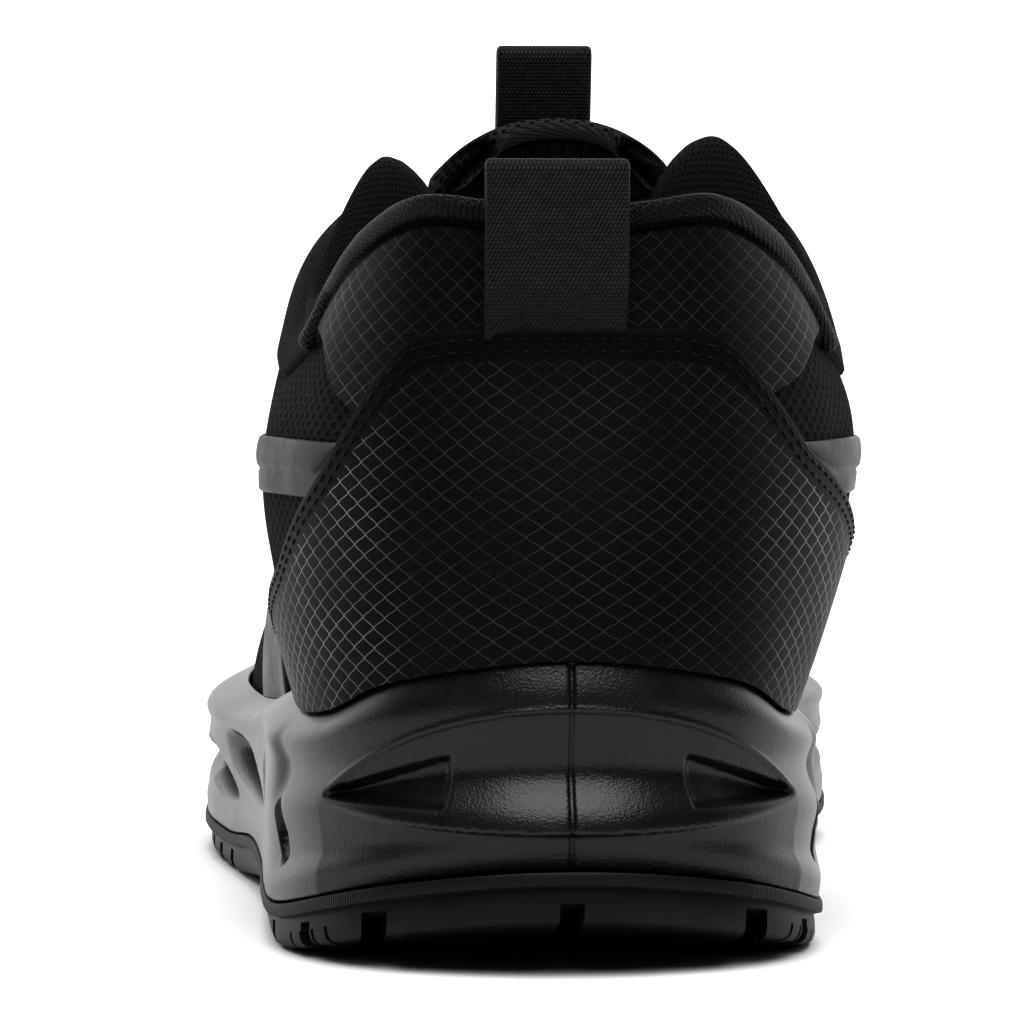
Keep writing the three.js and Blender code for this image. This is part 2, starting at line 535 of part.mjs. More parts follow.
// A level band behind and, between rows SADDLE_START and BAND_END, a saddle from the sole up to the eyestay
const BAND = { low: 0.605, high: 0.68 };
const BAND_START = 3;
const SADDLE_START = 6.85;
const BAND_END = 8.2;
const EYESTAY_EDGE = [
  { row: 6.6, level: 0.84 },
  { row: 7.5, level: 0.8 },
  { row: 8.6, level: 0.8 },
  { row: 9.7, level: 0.84 },
];
const EYESTAY_START = 6.65;
const EYESTAY_END = 9.65;
const EYELETS = [6.95, 7.45, 7.95, 8.4, 8.85];
const EYELET_LEVEL = 0.905;

function alongTable(table, column, row) {
  const found = table.findIndex((entry) => entry.row >= row);
  const next = found < 0 ? table.length - 1 : Math.max(1, found);
  const [a, b] = [table[next - 1], table[next]];
  return lerp(a[column], b[column], clamp((row - a.row) / (b.row - a.row), 0, 1));
}
const side = (s) => (wrap(s) < TOE_ROW ? 'lateral' : 'medial');
const counterTop = (s) => alongTable(COUNTER_EDGE, side(s), rowAt(s)) * COLLAR_HEIGHT;
const panelFoot = (s) =>
  Math.max(alongTable(PANEL_EDGE, side(s), rowAt(s)) * COLLAR_HEIGHT, counterTop(s) + 2 * GAP);
const onRim = (s) => levelAt(s, rimHeight(s) + 2 * GAP);
const eyestayEdge = (s) => alongTable(EYESTAY_EDGE, 'level', rowAt(s));

const heelCounter = () => overlay(-COUNTER_END, COUNTER_END, onRim, (s) => levelAt(s, counterTop(s)));
const collarPanel = () =>
  overlay(-PANEL_END, PANEL_END, (s) => levelAt(s, panelFoot(s)), () => 0.99, { columns: 3 });

// On either side a band of smooth film runs from the counter to a saddle that holds the eyestay
function sideBand(sign) {
  const options = { columns: 5, thickness: BAND_THICKNESS, lift: 3 * GAP };
  const strip = (from, to, low, high) =>
    overlay(...(sign < 0 ? [-to, -from] : [from, to]), low, high, options);
  const start = BAND_START + (sign < 0 ? 0.25 : 0);
  const bandFoot = (s) => levelAt(s, Math.max(BAND.low * COLLAR_HEIGHT, counterTop(s) + 3 * GAP));
  const band = strip(start, SADDLE_START + 0.2, bandFoot, (s) => levelAt(s, BAND.high * COLLAR_HEIGHT));
  return band.add(strip(SADDLE_START, BAND_END, onRim, (s) => eyestayEdge(s) - 0.015));
}
function eyestay(sign) {
  const high = (s) => (isClosed(s) ? 0.97 : 0.985);
  const ends = sign < 0 ? [-EYESTAY_END, -EYESTAY_START] : [EYESTAY_START, EYESTAY_END];
  const sheet = overlay(...ends, eyestayEdge, high, { columns: 2 });
  const holes = EYELETS.map((row) => {
    const punch = new THREE.CylinderGeometry(EYELET_RADIUS, EYELET_RADIUS, 4 * OVERLAY_THICKNESS, 8);
    const axis = new THREE.Vector3(0, 1, 0);
    const aim = new THREE.Quaternion().setFromUnitVectors(axis, outward(sign * row, EYELET_LEVEL));
    const centre = onUpper(sign * row, EYELET_LEVEL, OVERLAY_THICKNESS);
    return solidOf(punch.applyQuaternion(aim).translate(centre.x, centre.y, centre.z));
  });
  return sheet.subtract(wasm.Manifold.union(holes));
}

// The tongue lies inside the eyestays along the throat and stands free above them
// The part under the throat. wing: the level its sides reach down to. clear: its clearance, in GAPs.
const TONGUE_ROWS = [
  { row: 9.6, wing: 0.76, clear: 3 },
  { row: 9, wing: 0.74, clear: 3 },
  { row: 8.5, wing: 0.75, clear: 3 },
  { row: 8, wing: 0.78, clear: 3 },
  { row: 7.5, wing: 0.84, clear: 4 },
  { row: 7.1, wing: 0.96, clear: 9 },
];
const TONGUE_COLUMNS = 4;
const TONGUE_CROWN = 0.25;
const TONGUE_EDGE = 0.45;
// The free part. along: a share of the length. up: a share of COLLAR_HEIGHT. centre: a share of BALL_WIDTH.
// half: half its width, a share of COLLAR_WIDTH.
// arch: how much lower its sides lie than its middle, a share of TONGUE_RISE.
const TONGUE_CREST = [
  { along: 0.413, up: 1.012, centre: 0.04, half: 0.155, arch: 0.1 },
  { along: 0.408, up: 1.045, centre: 0.048, half: 0.245, arch: 0.16 },
  { along: 0.402, up: 1.08, centre: 0.056, half: 0.305, arch: 0.3 },
  { along: 0.394, up: 1.116, centre: 0.061, half: 0.285, arch: 0.46 },
  { along: 0.389, up: 1.138, centre: 0.061, half: 0.19, arch: 0.24 },
];
function tongue() {
  const covered = TONGUE_ROWS.map(({ row: s, wing, clear }) => {
    const under = (place, t) => offFace(place, t, -(wallAt(place, t) + clear * GAP));
    const level = (j) => lerp(wing, 0.995, j / (TONGUE_COLUMNS - 1));
    const levels = Array.from({ length: TONGUE_COLUMNS }, (_, j) => level(j));
    const outer = levels.map((t) => under(s, t));
    const inner = levels.map((t) => under(partner(s), t)).reverse();
    const middle = outer.at(-1).clone().lerp(inner[0], 0.5);
    middle.z += isClosed(s) ? 0 : TONGUE_CROWN * TONGUE_THICKNESS;
    return [...outer, middle, ...inner];
  });
  const free = TONGUE_CREST.map(({ along, up, centre, half, arch }) =>
    Array.from({ length: 2 * TONGUE_COLUMNS + 1 }, (_, j) => {
      const turn = (j / TONGUE_COLUMNS - 1) * (Math.PI / 2);
      const drop = (1 - Math.cos(turn)) * arch * TONGUE_RISE;
      const x = centre * BALL_WIDTH + Math.sin(turn) * half * COLLAR_WIDTH;
      return new THREE.Vector3(x, along * SOLE_LENGTH - 0.3 * drop, up * COLLAR_HEIGHT - drop);
    }));
  const sheet = [...covered, ...free];
  const last = sheet.length - 1;
  return slab(sheet, (i, j) => {
    const spine = (row) => sheet[row][TONGUE_COLUMNS].clone();
    const forward = spine(Math.min(i + 1, last)).sub(spine(Math.max(i - 1, 0))).normalize();
    const across = sheet[i].at(-1).clone().sub(sheet[i][0]).normalize();
    const down = across.cross(forward).normalize();
    if (down.z > 0) down.negate();
    const edge = Math.abs(j / TONGUE_COLUMNS - 1);
    const tip = i === last || i === 0 ? 0.5 : 1;
    const thickness = TONGUE_THICKNESS * tip * lerp(1, TONGUE_EDGE, edge * edge);
    return sheet[i][j].clone().addScaledVector(down, thickness);
  });
}

// Flat lace bars that cross over the tongue from each eyelet to the next one on the other side, all in one
// piece. LACE_ENDS: the levels a bar starts at and leaves the upper's edge at. LACE_BOW: its middle's rise.
const LACE_ENDS = [0.875, 0.985];
const LACE_BOW = 1.2;
function laces() {
  const rest = OVERLAY_LIFT + OVERLAY_THICKNESS + 3 * GAP + LACE_THICKNESS / 2;
  const bar = (from, to, rise) => {
    const half = (s) => LACE_ENDS.map((t, i) => ({
      point: onUpper(s, t, rest + rise + i * LACE_BOW / 2),
      normal: outward(s, t),
    }));
    const [start, finish] = [half(from), half(to).reverse()];
    const normal = start[1].normal.clone().add(finish[0].normal).normalize();
    const middle = start[1].point.clone().lerp(finish[0].point, 0.5).addScaledVector(normal, LACE_BOW);
    return ribbon([...start, { point: middle, normal }, ...finish], LACE_WIDTH, LACE_THICKNESS);
  };
  const crossed = EYELETS.slice(1).flatMap((row, i) => [
    bar(row, partner(EYELETS[i]), 0),
    bar(partner(row), EYELETS[i], LACE_THICKNESS / 4),
  ]);
  const last = bar(EYELETS.at(-1), partner(EYELETS.at(-1)), LACE_THICKNESS / 8);
  return wasm.Manifold.union([...crossed, last]);
}
// A flat strip swept along a path, its broad side turned along each point's normal
function ribbon(path, width, thickness) {
  return sweep(path.map(({ point, normal }, i) => {
    const [before, after] = [path[Math.max(i - 1, 0)].point, path[Math.min(i + 1, path.length - 1)].point];
    const across = normal.clone().cross(after.clone().sub(before)).normalize();
    return [[1, 1], [-1, 1], [-1, -1], [1, -1]].map(([a, b]) =>
      point.clone().addScaledVector(across, (a * width) / 2).addScaledVector(normal, (b * thickness) / 2));
  }));
}

// A flattened loop of webbing that stands in the plane facing backwards, its two layers joined at the foot.
// back(z) gives how far forward the middle between its layers lies.
const LOOP_OPENING = 1.2;
function webbingLoop({ centre, width, foot, top, back }) {
  const radius = WEBBING_THICKNESS + LOOP_OPENING / 2;
  const crown = top - radius;
  const outline = (away, bottom) => {
    const stem = [bottom, lerp(bottom, crown, 0.5), crown].map((z) => [back(z) + away, z]);
    const arch = [36, 72, 108, 144].map(THREE.MathUtils.degToRad).map((turn) =>
      [back(crown) + away * Math.cos(turn), crown + away * Math.sin(turn)]);
    const other = [crown, lerp(bottom, crown, 0.5), bottom].map((z) => [back(z) - away, z]);
    return [...stem, ...arch, ...other].map(([y, z]) => new THREE.Vector2(y, z));
  };
  const shape = new THREE.Shape(outline(radius, foot));
  shape.holes.push(new THREE.Path(outline(LOOP_OPENING / 2, lerp(foot, top, 0.15))));
  const strip = new THREE.ExtrudeGeometry(shape, { depth: width, bevelEnabled: false });
  const upright = new THREE.Matrix4().makeBasis(new THREE.Vector3(0, 1, 0), UP, new THREE.Vector3(1, 0, 0));
  return solidOf(strip.applyMatrix4(upright).translate(centre - width / 2, 0, 0));
}
const HEEL_LOOP = { centre: -0.03, foot: 0.825, top: 1.045 };
const TONGUE_LOOP = { centre: 0.047, foot: 1.04, top: 1.235, forward: 0.4165, lean: 0.25 };
function heelLoop() {
  const clearance = OVERLAY_LIFT + OVERLAY_THICKNESS + 2 * GAP + WEBBING_THICKNESS + LOOP_OPENING / 2;
  return webbingLoop({
    centre: HEEL_LOOP.centre * COLLAR_WIDTH,
    width: HEEL_LOOP_WIDTH,
    foot: HEEL_LOOP.foot * COLLAR_HEIGHT,
    top: HEEL_LOOP.top * COLLAR_HEIGHT,
    back: (z) => onUpper(0, Math.min(0.985, levelAt(0, z)), clearance).y,
  });
}
function tongueLoop() {
  return webbingLoop({
    centre: TONGUE_LOOP.centre * BALL_WIDTH,
    width: TONGUE_LOOP_WIDTH,
    foot: TONGUE_LOOP.foot * COLLAR_HEIGHT,
    top: TONGUE_LOOP.top * COLLAR_HEIGHT,
    back: (z) => TONGUE_LOOP.forward * SOLE_LENGTH - TONGUE_LOOP.lean * (z - TONGUE_LOOP.foot * COLLAR_HEIGHT),
  });
}

// Named meshes in one group
const MATERIALS = {
  rubber: new THREE.MeshStandardMaterial({ color: 0x141516, roughness: 0.62, metalness: 0 }),
  foam: new THREE.MeshStandardMaterial({ color: 0x17181a, roughness: 0.42, metalness: 0 }),
  mesh: new THREE.MeshStandardMaterial({ color: 0x15191a, roughness: 0.9, metalness: 0 }),
  ripstop: new THREE.MeshStandardMaterial({ color: 0x101616, roughness: 0.6, metalness: 0 }),
  film: new THREE.MeshStandardMaterial({ color: 0x3a3c3c, roughness: 0.4, metalness: 0 }),
  webbing: new THREE.MeshStandardMaterial({ color: 0x0d1212, roughness: 0.75, metalness: 0 }),
  lace: new THREE.MeshStandardMaterial({ color: 0x121414, roughness: 0.85, metalness: 0 }),
  sockliner: new THREE.MeshStandardMaterial({ color: 0x1b1d1f, roughness: 0.95, metalness: 0 }),
};
const shoe = new THREE.Group();
function add(name, solid, material) {
  const { numProp, vertProperties, triVerts } = solid.getMesh();
  const geometry = new THREE.BufferGeometry();
  geometry.setAttribute('position', new THREE.InterleavedBufferAttribute(
    new THREE.InterleavedBuffer(vertProperties, numProp), 3, 0));
  geometry.setIndex(new THREE.BufferAttribute(triVerts, 1));
  const flat = geometry.toNonIndexed();
  flat.computeVertexNormals();
  const mesh = new THREE.Mesh(flat, MATERIALS[material]);
  mesh.name = name;
  shoe.add(mesh);
}

add('outsole', outsole(), 'rubber');
add('midsole', midsole(), 'foam');
add('insole', insole(), 'sockliner');
add('upper', upper(), 'mesh');
add('tongue', tongue(), 'mesh');
add('heel_counter', heelCounter(), 'ripstop');
add('collar_panel', collarPanel(), 'ripstop');
add('side_band_lateral', sideBand(1), 'film');
add('side_band_medial', sideBand(-1), 'film');
add('eyestay_lateral', eyestay(1), 'film');
add('eyestay_medial', eyestay(-1), 'film');
add('laces', laces(), 'lace');
add('heel_loop', heelLoop(), 'webbing');
add('tongue_loop', tongueLoop(), 'webbing');

// The origin: under the middle of the shoe's box, on the floor
const middle = new THREE.Box3().setFromObject(shoe).getCenter(new THREE.Vector3());
shoe.children.forEach((mesh) => mesh.position.set(-middle.x, -middle.y, 0));

export default shoe;
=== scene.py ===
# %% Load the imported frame
import math

import bmesh
import bpy
import numpy as np
from mathutils import Matrix, Vector


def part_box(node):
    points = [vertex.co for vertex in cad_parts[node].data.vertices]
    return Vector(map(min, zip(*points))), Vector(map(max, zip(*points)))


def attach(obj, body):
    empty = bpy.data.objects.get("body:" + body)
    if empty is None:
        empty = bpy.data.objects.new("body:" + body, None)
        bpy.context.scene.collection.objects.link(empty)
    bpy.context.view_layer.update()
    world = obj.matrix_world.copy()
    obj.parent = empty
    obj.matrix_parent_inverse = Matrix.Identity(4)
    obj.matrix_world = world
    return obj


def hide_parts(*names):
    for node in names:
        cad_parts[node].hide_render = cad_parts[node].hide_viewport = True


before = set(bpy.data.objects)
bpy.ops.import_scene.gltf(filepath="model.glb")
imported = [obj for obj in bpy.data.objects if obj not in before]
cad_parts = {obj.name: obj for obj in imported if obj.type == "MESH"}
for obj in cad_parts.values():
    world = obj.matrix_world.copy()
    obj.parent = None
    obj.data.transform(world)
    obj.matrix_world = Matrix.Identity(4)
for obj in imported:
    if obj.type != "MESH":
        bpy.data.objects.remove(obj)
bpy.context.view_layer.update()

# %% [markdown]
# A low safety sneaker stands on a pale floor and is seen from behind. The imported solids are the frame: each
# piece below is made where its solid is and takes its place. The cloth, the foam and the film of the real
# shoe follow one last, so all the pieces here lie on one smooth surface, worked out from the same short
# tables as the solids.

MM = 0.001
SOLE_LENGTH = 300
BALL_WIDTH = 107
HEEL_WIDTH = 82
HEEL_STACK = 27
BALL_STACK = 18.5
TOE_SPRING = 18
HEEL_BEVEL = 8.5
HEEL_BEVEL_RUN = 45
ARCH_LIFT = 2
OUTSOLE_WALL = 6.7
OUTSOLE_LIP = 0.3
RIM_HEIGHT = 44
SIDE_RELIEF = 4
INSOLE_THICKNESS = 4.5
COLLAR_HEIGHT = 109
COLLAR_WIDTH = 68
FEATHER_INSET = 8.5
BELLY = 13
SHOULDER = 24
UPPER_WALL = 2.4
COLLAR_PAD = 8.5
GAP = 0.3

# %% [markdown]
# Sections from the heel's back to the toe's tip describe the sole's outline, the wall above it and its top
# edge. Each column is a share of a named size, and a smooth curve through the sections gives every place
# between them.

# %% The tables of sections
def columns(names, rows):
    """A short table as one array for each named column."""
    return dict(zip(names.split(), np.array(rows, float).T))


OUTLINE = columns("along ball lateral medial rim_lateral rim_medial", [
    (0.000, 0.00, 0.000, 0.000, 1.000, 1.00),
    (0.008, 0.00, 0.317, 0.317, 0.980, 0.98),
    (0.038, 0.00, 0.659, 0.659, 0.920, 0.92),
    (0.085, 0.00, 0.878, 0.866, 0.820, 0.82),
    (0.150, 0.00, 0.988, 0.976, 0.790, 0.79),
    (0.235, 0.15, 0.956, 0.932, 0.810, 0.83),
    (0.330, 0.40, 0.880, 0.837, 0.790, 0.87),
    (0.425, 0.60, 0.856, 0.804, 0.700, 0.86),
    (0.520, 0.80, 0.863, 0.863, 0.655, 0.75),
    (0.610, 1.00, 0.869, 0.990, 0.650, 0.68),
    (0.690, 1.00, 0.875, 1.120, 0.655, 0.66),
    (0.765, 1.00, 0.832, 1.168, 0.670, 0.67),
    (0.835, 1.00, 0.710, 1.100, 0.710, 0.71),
    (0.900, 1.00, 0.523, 0.935, 0.790, 0.78),
    (0.950, 1.00, 0.299, 0.766, 0.880, 0.87),
    (0.985, 1.00, 0.037, 0.542, 0.940, 0.94),
    (1.000, 1.00, -0.243, 0.243, 0.960, 0.96),
])
WALLS = columns("belly_out belly_in rise shoulder_out shoulder_in dip pad", [
    (1.00, 1.00, 0.33, -0.25, -0.25, 0.25, 0.75),
    (1.00, 1.00, 0.33, -0.20, -0.20, 0.25, 0.75),
    (0.90, 0.90, 0.33, -0.05, -0.05, 0.25, 0.80),
    (0.70, 0.75, 0.33, 0.25, 0.25, 0.30, 0.90),
    (0.50, 0.70, 0.33, 0.45, 0.45, 0.35, 1.00),
    (0.40, 0.70, 0.35, 0.65, 0.62, 0.30, 1.05),
    (0.40, 0.70, 0.35, 1.00, 1.10, 0.22, 1.05),
    (0.50, 0.65, 0.33, 1.00, 1.05, 0.10, 0.15),
    (0.50, 0.55, 0.35, 1.00, 1.00, 0.05, 0.00),
    (0.45, 0.45, 0.42, 1.15, 1.15, 0.02, 0.00),
    (0.40, 0.40, 0.50, 1.10, 1.10, 0.00, 0.00),
    (0.40, 0.40, 0.58, 1.05, 1.05, -0.02, 0.00),
    (0.40, 0.40, 0.66, 1.00, 1.00, -0.03, 0.00),
    (0.40, 0.40, 0.72, 0.97, 0.97, -0.04, 0.00),
    (0.40, 0.40, 0.75, 0.95, 0.95, -0.04, 0.00),
    (0.40, 0.40, 0.77, 0.92, 0.92, -0.04, 0.00),
    (0.40, 0.40, 0.77, 0.92, 0.92, -0.04, 0.00),
])
TOPLINE = columns("along ridge gap top_out top_in", [
    (0.022, 0.000, 0.000, 0.963, 0.963),
    (0.024, 0.000, 0.160, 0.975, 0.975),
    (0.040, 0.002, 0.300, 0.980, 0.982),
    (0.090, 0.015, 0.415, 0.935, 0.935),
    (0.155, 0.030, 0.500, 0.862, 0.860),
    (0.228, 0.040, 0.540, 0.835, 0.845),
    (0.320, 0.038, 0.365, 1.045, 1.075),
    (0.415, 0.040, 0.222, 0.950, 0.955),
    (0.510, 0.043, 0.170, 0.800, 0.805),
    (0.615, 0.050, 0.000, 0.660, 0.660),
    (0.690, 0.058, 0.000, 0.618, 0.618),
    (0.745, 0.068, 0.000, 0.607, 0.607),
    (0.790, 0.078, 0.000, 0.607, 0.607),
    (0.825, 0.088, 0.000, 0.607, 0.607),
    (0.848, 0.094, 0.000, 0.605, 0.605),
    (0.860, 0.097, 0.000, 0.604, 0.604),
    (0.865, 0.098, 0.000, 0.603, 0.603),
])
THROAT_ROW = 9
TOE_ROW = 16
LOOP = 2 * TOE_ROW
HEEL_PIVOT = 0.14 * SOLE_LENGTH
TOE_PIVOT = 0.86 * SOLE_LENGTH
TOE_START = 0.68 * SOLE_LENGTH
UP = np.array([0.0, 0.0, 1.0])
print(len(OUTLINE["along"]), "sections from the heel's back to the toe's tip")


def smooth(x):
    x = np.clip(x, 0, 1)
    return x * x * (3 - 2 * x)


def mix(a, b, share):
    return a + (b - a) * share


def bell(x, width):
    """A soft hump of height 1 round zero."""
    return np.exp(-((x / width) ** 2))


def together(*values):
    return np.broadcast_arrays(*(np.asarray(value, float) for value in values))


def lengths_along(path):
    """The distance of each point of a path from its start."""
    return np.concatenate([[0], np.cumsum(np.linalg.norm(np.diff(path, axis=0), axis=1))])


# %% Curves round the shoe
def round_the_shoe(lateral, medial=None):
    """A column as a smooth function of s: 0 at the heel's back, 16 at the toe's tip, 32 back again."""
    medial = lateral if medial is None else medial
    nodes = np.concatenate([lateral[:TOE_ROW], medial[TOE_ROW:0:-1]])

    def value(s):
        s = np.asarray(s, float) % LOOP
        k = np.floor(s).astype(int)
        f = s - k
        a, b, c, d = (nodes[(k + step) % LOOP] for step in (-1, 0, 1, 2))
        bend = f * f * (2 * a - 5 * b + 4 * c - d) + f ** 3 * (3 * b - 3 * c + d - a)
        return b + (f * (c - a) + bend) / 2

    return value


half_width = (HEEL_WIDTH + (BALL_WIDTH - HEEL_WIDTH) * OUTLINE["ball"]) / 2
edge_x = round_the_shoe(-half_width * OUTLINE["lateral"], half_width * OUTLINE["medial"])
edge_y = round_the_shoe(OUTLINE["along"] * SOLE_LENGTH)
rim_height = round_the_shoe(OUTLINE["rim_lateral"] * RIM_HEIGHT, OUTLINE["rim_medial"] * RIM_HEIGHT)
belly = round_the_shoe(WALLS["belly_out"] * BELLY, WALLS["belly_in"] * BELLY)
rise = round_the_shoe(WALLS["rise"])
shoulder = round_the_shoe(WALLS["shoulder_out"] * SHOULDER, WALLS["shoulder_in"] * SHOULDER)
dip = round_the_shoe(WALLS["dip"])
padding = round_the_shoe(WALLS["pad"] * COLLAR_PAD)
top_y = round_the_shoe(TOPLINE["along"] * SOLE_LENGTH)
ridge_x = round_the_shoe(TOPLINE["ridge"] * BALL_WIDTH)
half_gap = round_the_shoe(-TOPLINE["gap"] * COLLAR_WIDTH, TOPLINE["gap"] * COLLAR_WIDTH)
top_z = round_the_shoe(TOPLINE["top_out"] * COLLAR_HEIGHT, TOPLINE["top_in"] * COLLAR_HEIGHT)


def row_at(s):
    s = np.asarray(s, float) % LOOP
    return np.minimum(s, LOOP - s)


def toe_spring(y):
    return TOE_SPRING * np.maximum(0, (y - TOE_START) / (SOLE_LENGTH - TOE_START)) ** 1.8


def ground(y):
    bevel = HEEL_BEVEL * np.maximum(0, 1 - y / HEEL_BEVEL_RUN) ** 1.5
    arch = np.clip((y / SOLE_LENGTH - 0.28) / 0.26, 0, 1)
    return bevel + toe_spring(y) + ARCH_LIFT * np.sin(np.pi * arch) ** 2


def footbed(y):
    return mix(HEEL_STACK, BALL_STACK, smooth((y / SOLE_LENGTH - 0.2) / 0.4)) + 0.85 * toe_spring(y)


# %% [markdown]
# A spoke runs level from the sole's spine to its edge. The upper's wall is one cubic curve on each spoke,
# from the feather line inside the sole's rim to the top edge, and every sheet of cloth or film is given by
# two numbers on it: s round the shoe, and t up the wall.

# %% Places on the last
def spine_x(y):
    middles = half_width * (OUTLINE["medial"] - OUTLINE["lateral"]) / 2
    return np.interp(y, OUTLINE["along"] * SOLE_LENGTH, middles)


def spoke(s):
    y = np.clip(edge_y(s), HEEL_PIVOT, TOE_PIVOT)
    x = spine_x(y)
    away = np.stack([edge_x(s) - x, edge_y(s) - y, 0 * y], -1)
    reach = np.linalg.norm(away, axis=-1)
    return np.stack([x, y, 0 * y], -1), away / reach[..., None], reach


def on_spoke(s, radius, z):
    """The point on a spoke at a radius from the spine, at the height z or on the surface z(y)."""
    spine, out, _ = spoke(s)
    point = spine + out * np.asarray(radius)[..., None]
    point[..., 2] = z(point[..., 1]) if callable(z) else z
    return point


def top_edge(s):
    shut = row_at(s) >= THROAT_ROW
    x = ridge_x(s) + np.where(shut, 0, half_gap(s))
    z = np.where(shut, (top_z(s) + top_z(-np.asarray(s, float))) / 2, top_z(s))
    return np.stack([x, top_y(s), z], -1)


def upper_face(s, t):
    s, t = together(s, t)
    _, out, reach = spoke(s)
    foot = on_spoke(s, reach - FEATHER_INSET, lambda y: footbed(y) + GAP)
    top = top_edge(s)
    height = (top[..., 2] - foot[..., 2])[..., None]
    low = foot + out * belly(s)[..., None] + UP * rise(s)[..., None] * height
    high = top + out * shoulder(s)[..., None] - UP * dip(s)[..., None] * height
    t = t[..., None]
    return foot * (1 - t) ** 3 + 3 * low * t * (1 - t) ** 2 + 3 * high * t * t * (1 - t) + top * t ** 3


def unit(vectors):
    return vectors / np.maximum(np.linalg.norm(vectors, axis=-1), 1e-9)[..., None]


def outward(s, t, step=0.02):
    s, t = together(s, t)
    place = np.minimum(t, 1 - 1.5 * step)
    down, up = np.maximum(0, place - step), place + step
    level = (down + up) / 2
    along = upper_face(s + step, level) - upper_face(s - step, level)
    return unit(np.cross(upper_face(s, up) - upper_face(s, down), along))


def on_upper(s, t, lift=0.0):
    s, t, lift = together(s, t, lift)
    normal = outward(s, t)
    both = (t > 0.98) & (row_at(s) >= THROAT_ROW)
    normal = np.where(both[..., None], unit(normal + outward(-s, t)), normal)
    return upper_face(s, t) + normal * lift[..., None]


def wall_at(s, t):
    return UPPER_WALL + padding(s) * smooth((t - 0.5) / 0.35)


def level_at(s, z):
    """The t at which the upper's face reaches a height."""
    s, z = together(s, z)
    low, high = np.zeros(s.shape), np.ones(s.shape)
    for _ in range(24):
        middle = (low + high) / 2
        under = upper_face(s, middle)[..., 2] < z
        low, high = np.where(under, middle, low), np.where(under, high, middle)
    return low


fine = np.linspace(0, LOOP, 3201)
girth_table = lengths_along(np.stack([edge_x(fine), edge_y(fine)], -1))
GIRTH = girth_table[-1]


def girth(s):
    """Millimetres round the sole's edge from the heel's back to the place s."""
    turns = np.floor(np.asarray(s, float) / LOOP)
    return np.interp(s - turns * LOOP, fine, girth_table) + turns * GIRTH


def s_at(length):
    """The place s at a number of millimetres round the sole's edge."""
    turns = np.floor(np.asarray(length, float) / GIRTH)
    return np.interp(length - turns * GIRTH, girth_table, fine) + turns * LOOP


def mirrored(places):
    """Places from the heel's back to the toe, repeated on the other side, so both sides meet on the spine."""
    half = s_at(np.asarray(places) * girth(TOE_ROW))
    return np.concatenate([half, LOOP - half[-2::-1]])


STATIONS = np.arange(0, LOOP, 0.5)
lip = on_spoke(STATIONS, spoke(STATIONS)[2] + OUTSOLE_LIP, 0)
ORIGIN = lip.min(axis=0) - np.array(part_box("outsole")[0]) / MM
ORIGIN[2] = 0
print("the shoe's origin in its own millimetres:", ORIGIN.round(2), "girth of the sole:", round(GIRTH))

# %% [markdown]
# Every cut sheet starts as the grid that bmesh makes, and its corners are moved to their places on the
# last. The UV map keeps the sheet's flat size in millimetres, so a weave has its true scale. A ring's seam
# is welded, and a sheet gets its thickness from a solidify modifier.

# %% From a grid to a piece
def to_frame(points):
    return (np.asarray(points) - ORIGIN) * MM


def flat_size(points, level=None):
    """Millimetres along the middle of a sheet and up it, as it lies when flat."""
    u = lengths_along(points[:, points.shape[1] // 2])
    u = np.broadcast_to((u - u[len(u) // 2])[:, None], points.shape[:2])
    up = np.linalg.norm(np.diff(points, axis=1), axis=-1)
    v = np.concatenate([np.zeros((len(points), 1)), np.cumsum(up, axis=1)], axis=1)
    if level is not None:
        v = v - np.array([np.interp(level, row[:, 2], lengths) for row, lengths in zip(points, v)])[:, None]
    return np.stack([u, v], -1)


def mesh_of(name, bm):
    mesh = bpy.data.meshes.new(name)
    bm.to_mesh(mesh)
    bm.free()
    return mesh


def show(name, data):
    """A new object, linked into the scene."""
    made = bpy.data.objects.new(name, data)
    bpy.context.scene.collection.objects.link(made)
    return made


def sealed(bm):
    """Open ends are filled and all faces look outwards."""
    bmesh.ops.holes_fill(bm, edges=[edge for edge in bm.edges if edge.is_boundary])
    bmesh.ops.recalc_face_normals(bm, faces=bm.faces[:])
    return bm


def cut_away(piece, cutters):
    """Boolean modifiers cut closed shapes out of a piece, and the result becomes its mesh."""
    tools = []
    for number, bm in enumerate(cutters):
        tools.append(show(f"cutter_{number}", mesh_of(f"cutter_{number}", bm)))
        cut = piece.modifiers.new(f"cut_{number}", "BOOLEAN")
        cut.operation, cut.solver, cut.object = "DIFFERENCE", "EXACT", tools[-1]
    result = bpy.data.meshes.new_from_object(piece.evaluated_get(bpy.context.evaluated_depsgraph_get()))
    piece.modifiers.clear()
    piece.data = result
    for tool in tools:
        bpy.data.objects.remove(tool)
    print(f"{piece.name}: {len(result.polygons)} faces once cut")
    return result


def finish_piece(name, bm, material, smooth_angle=None, thickness=None):
    """A mesh becomes a piece on the shoe's body. A sheet with a thickness grows inwards from its outer side."""
    mesh = mesh_of(name, bm)
    mesh.shade_smooth()
    if smooth_angle:
        mesh.set_sharp_from_angle(angle=math.radians(smooth_angle))
    mesh.materials.append(material)
    piece = show(name, mesh)
    if thickness:
        backing = piece.modifiers.new("thickness", "SOLIDIFY")
        backing.thickness, backing.offset = thickness * MM, -1
    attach(piece, "root")
    print(f"{name}: {len(mesh.polygons)} faces")
    return piece


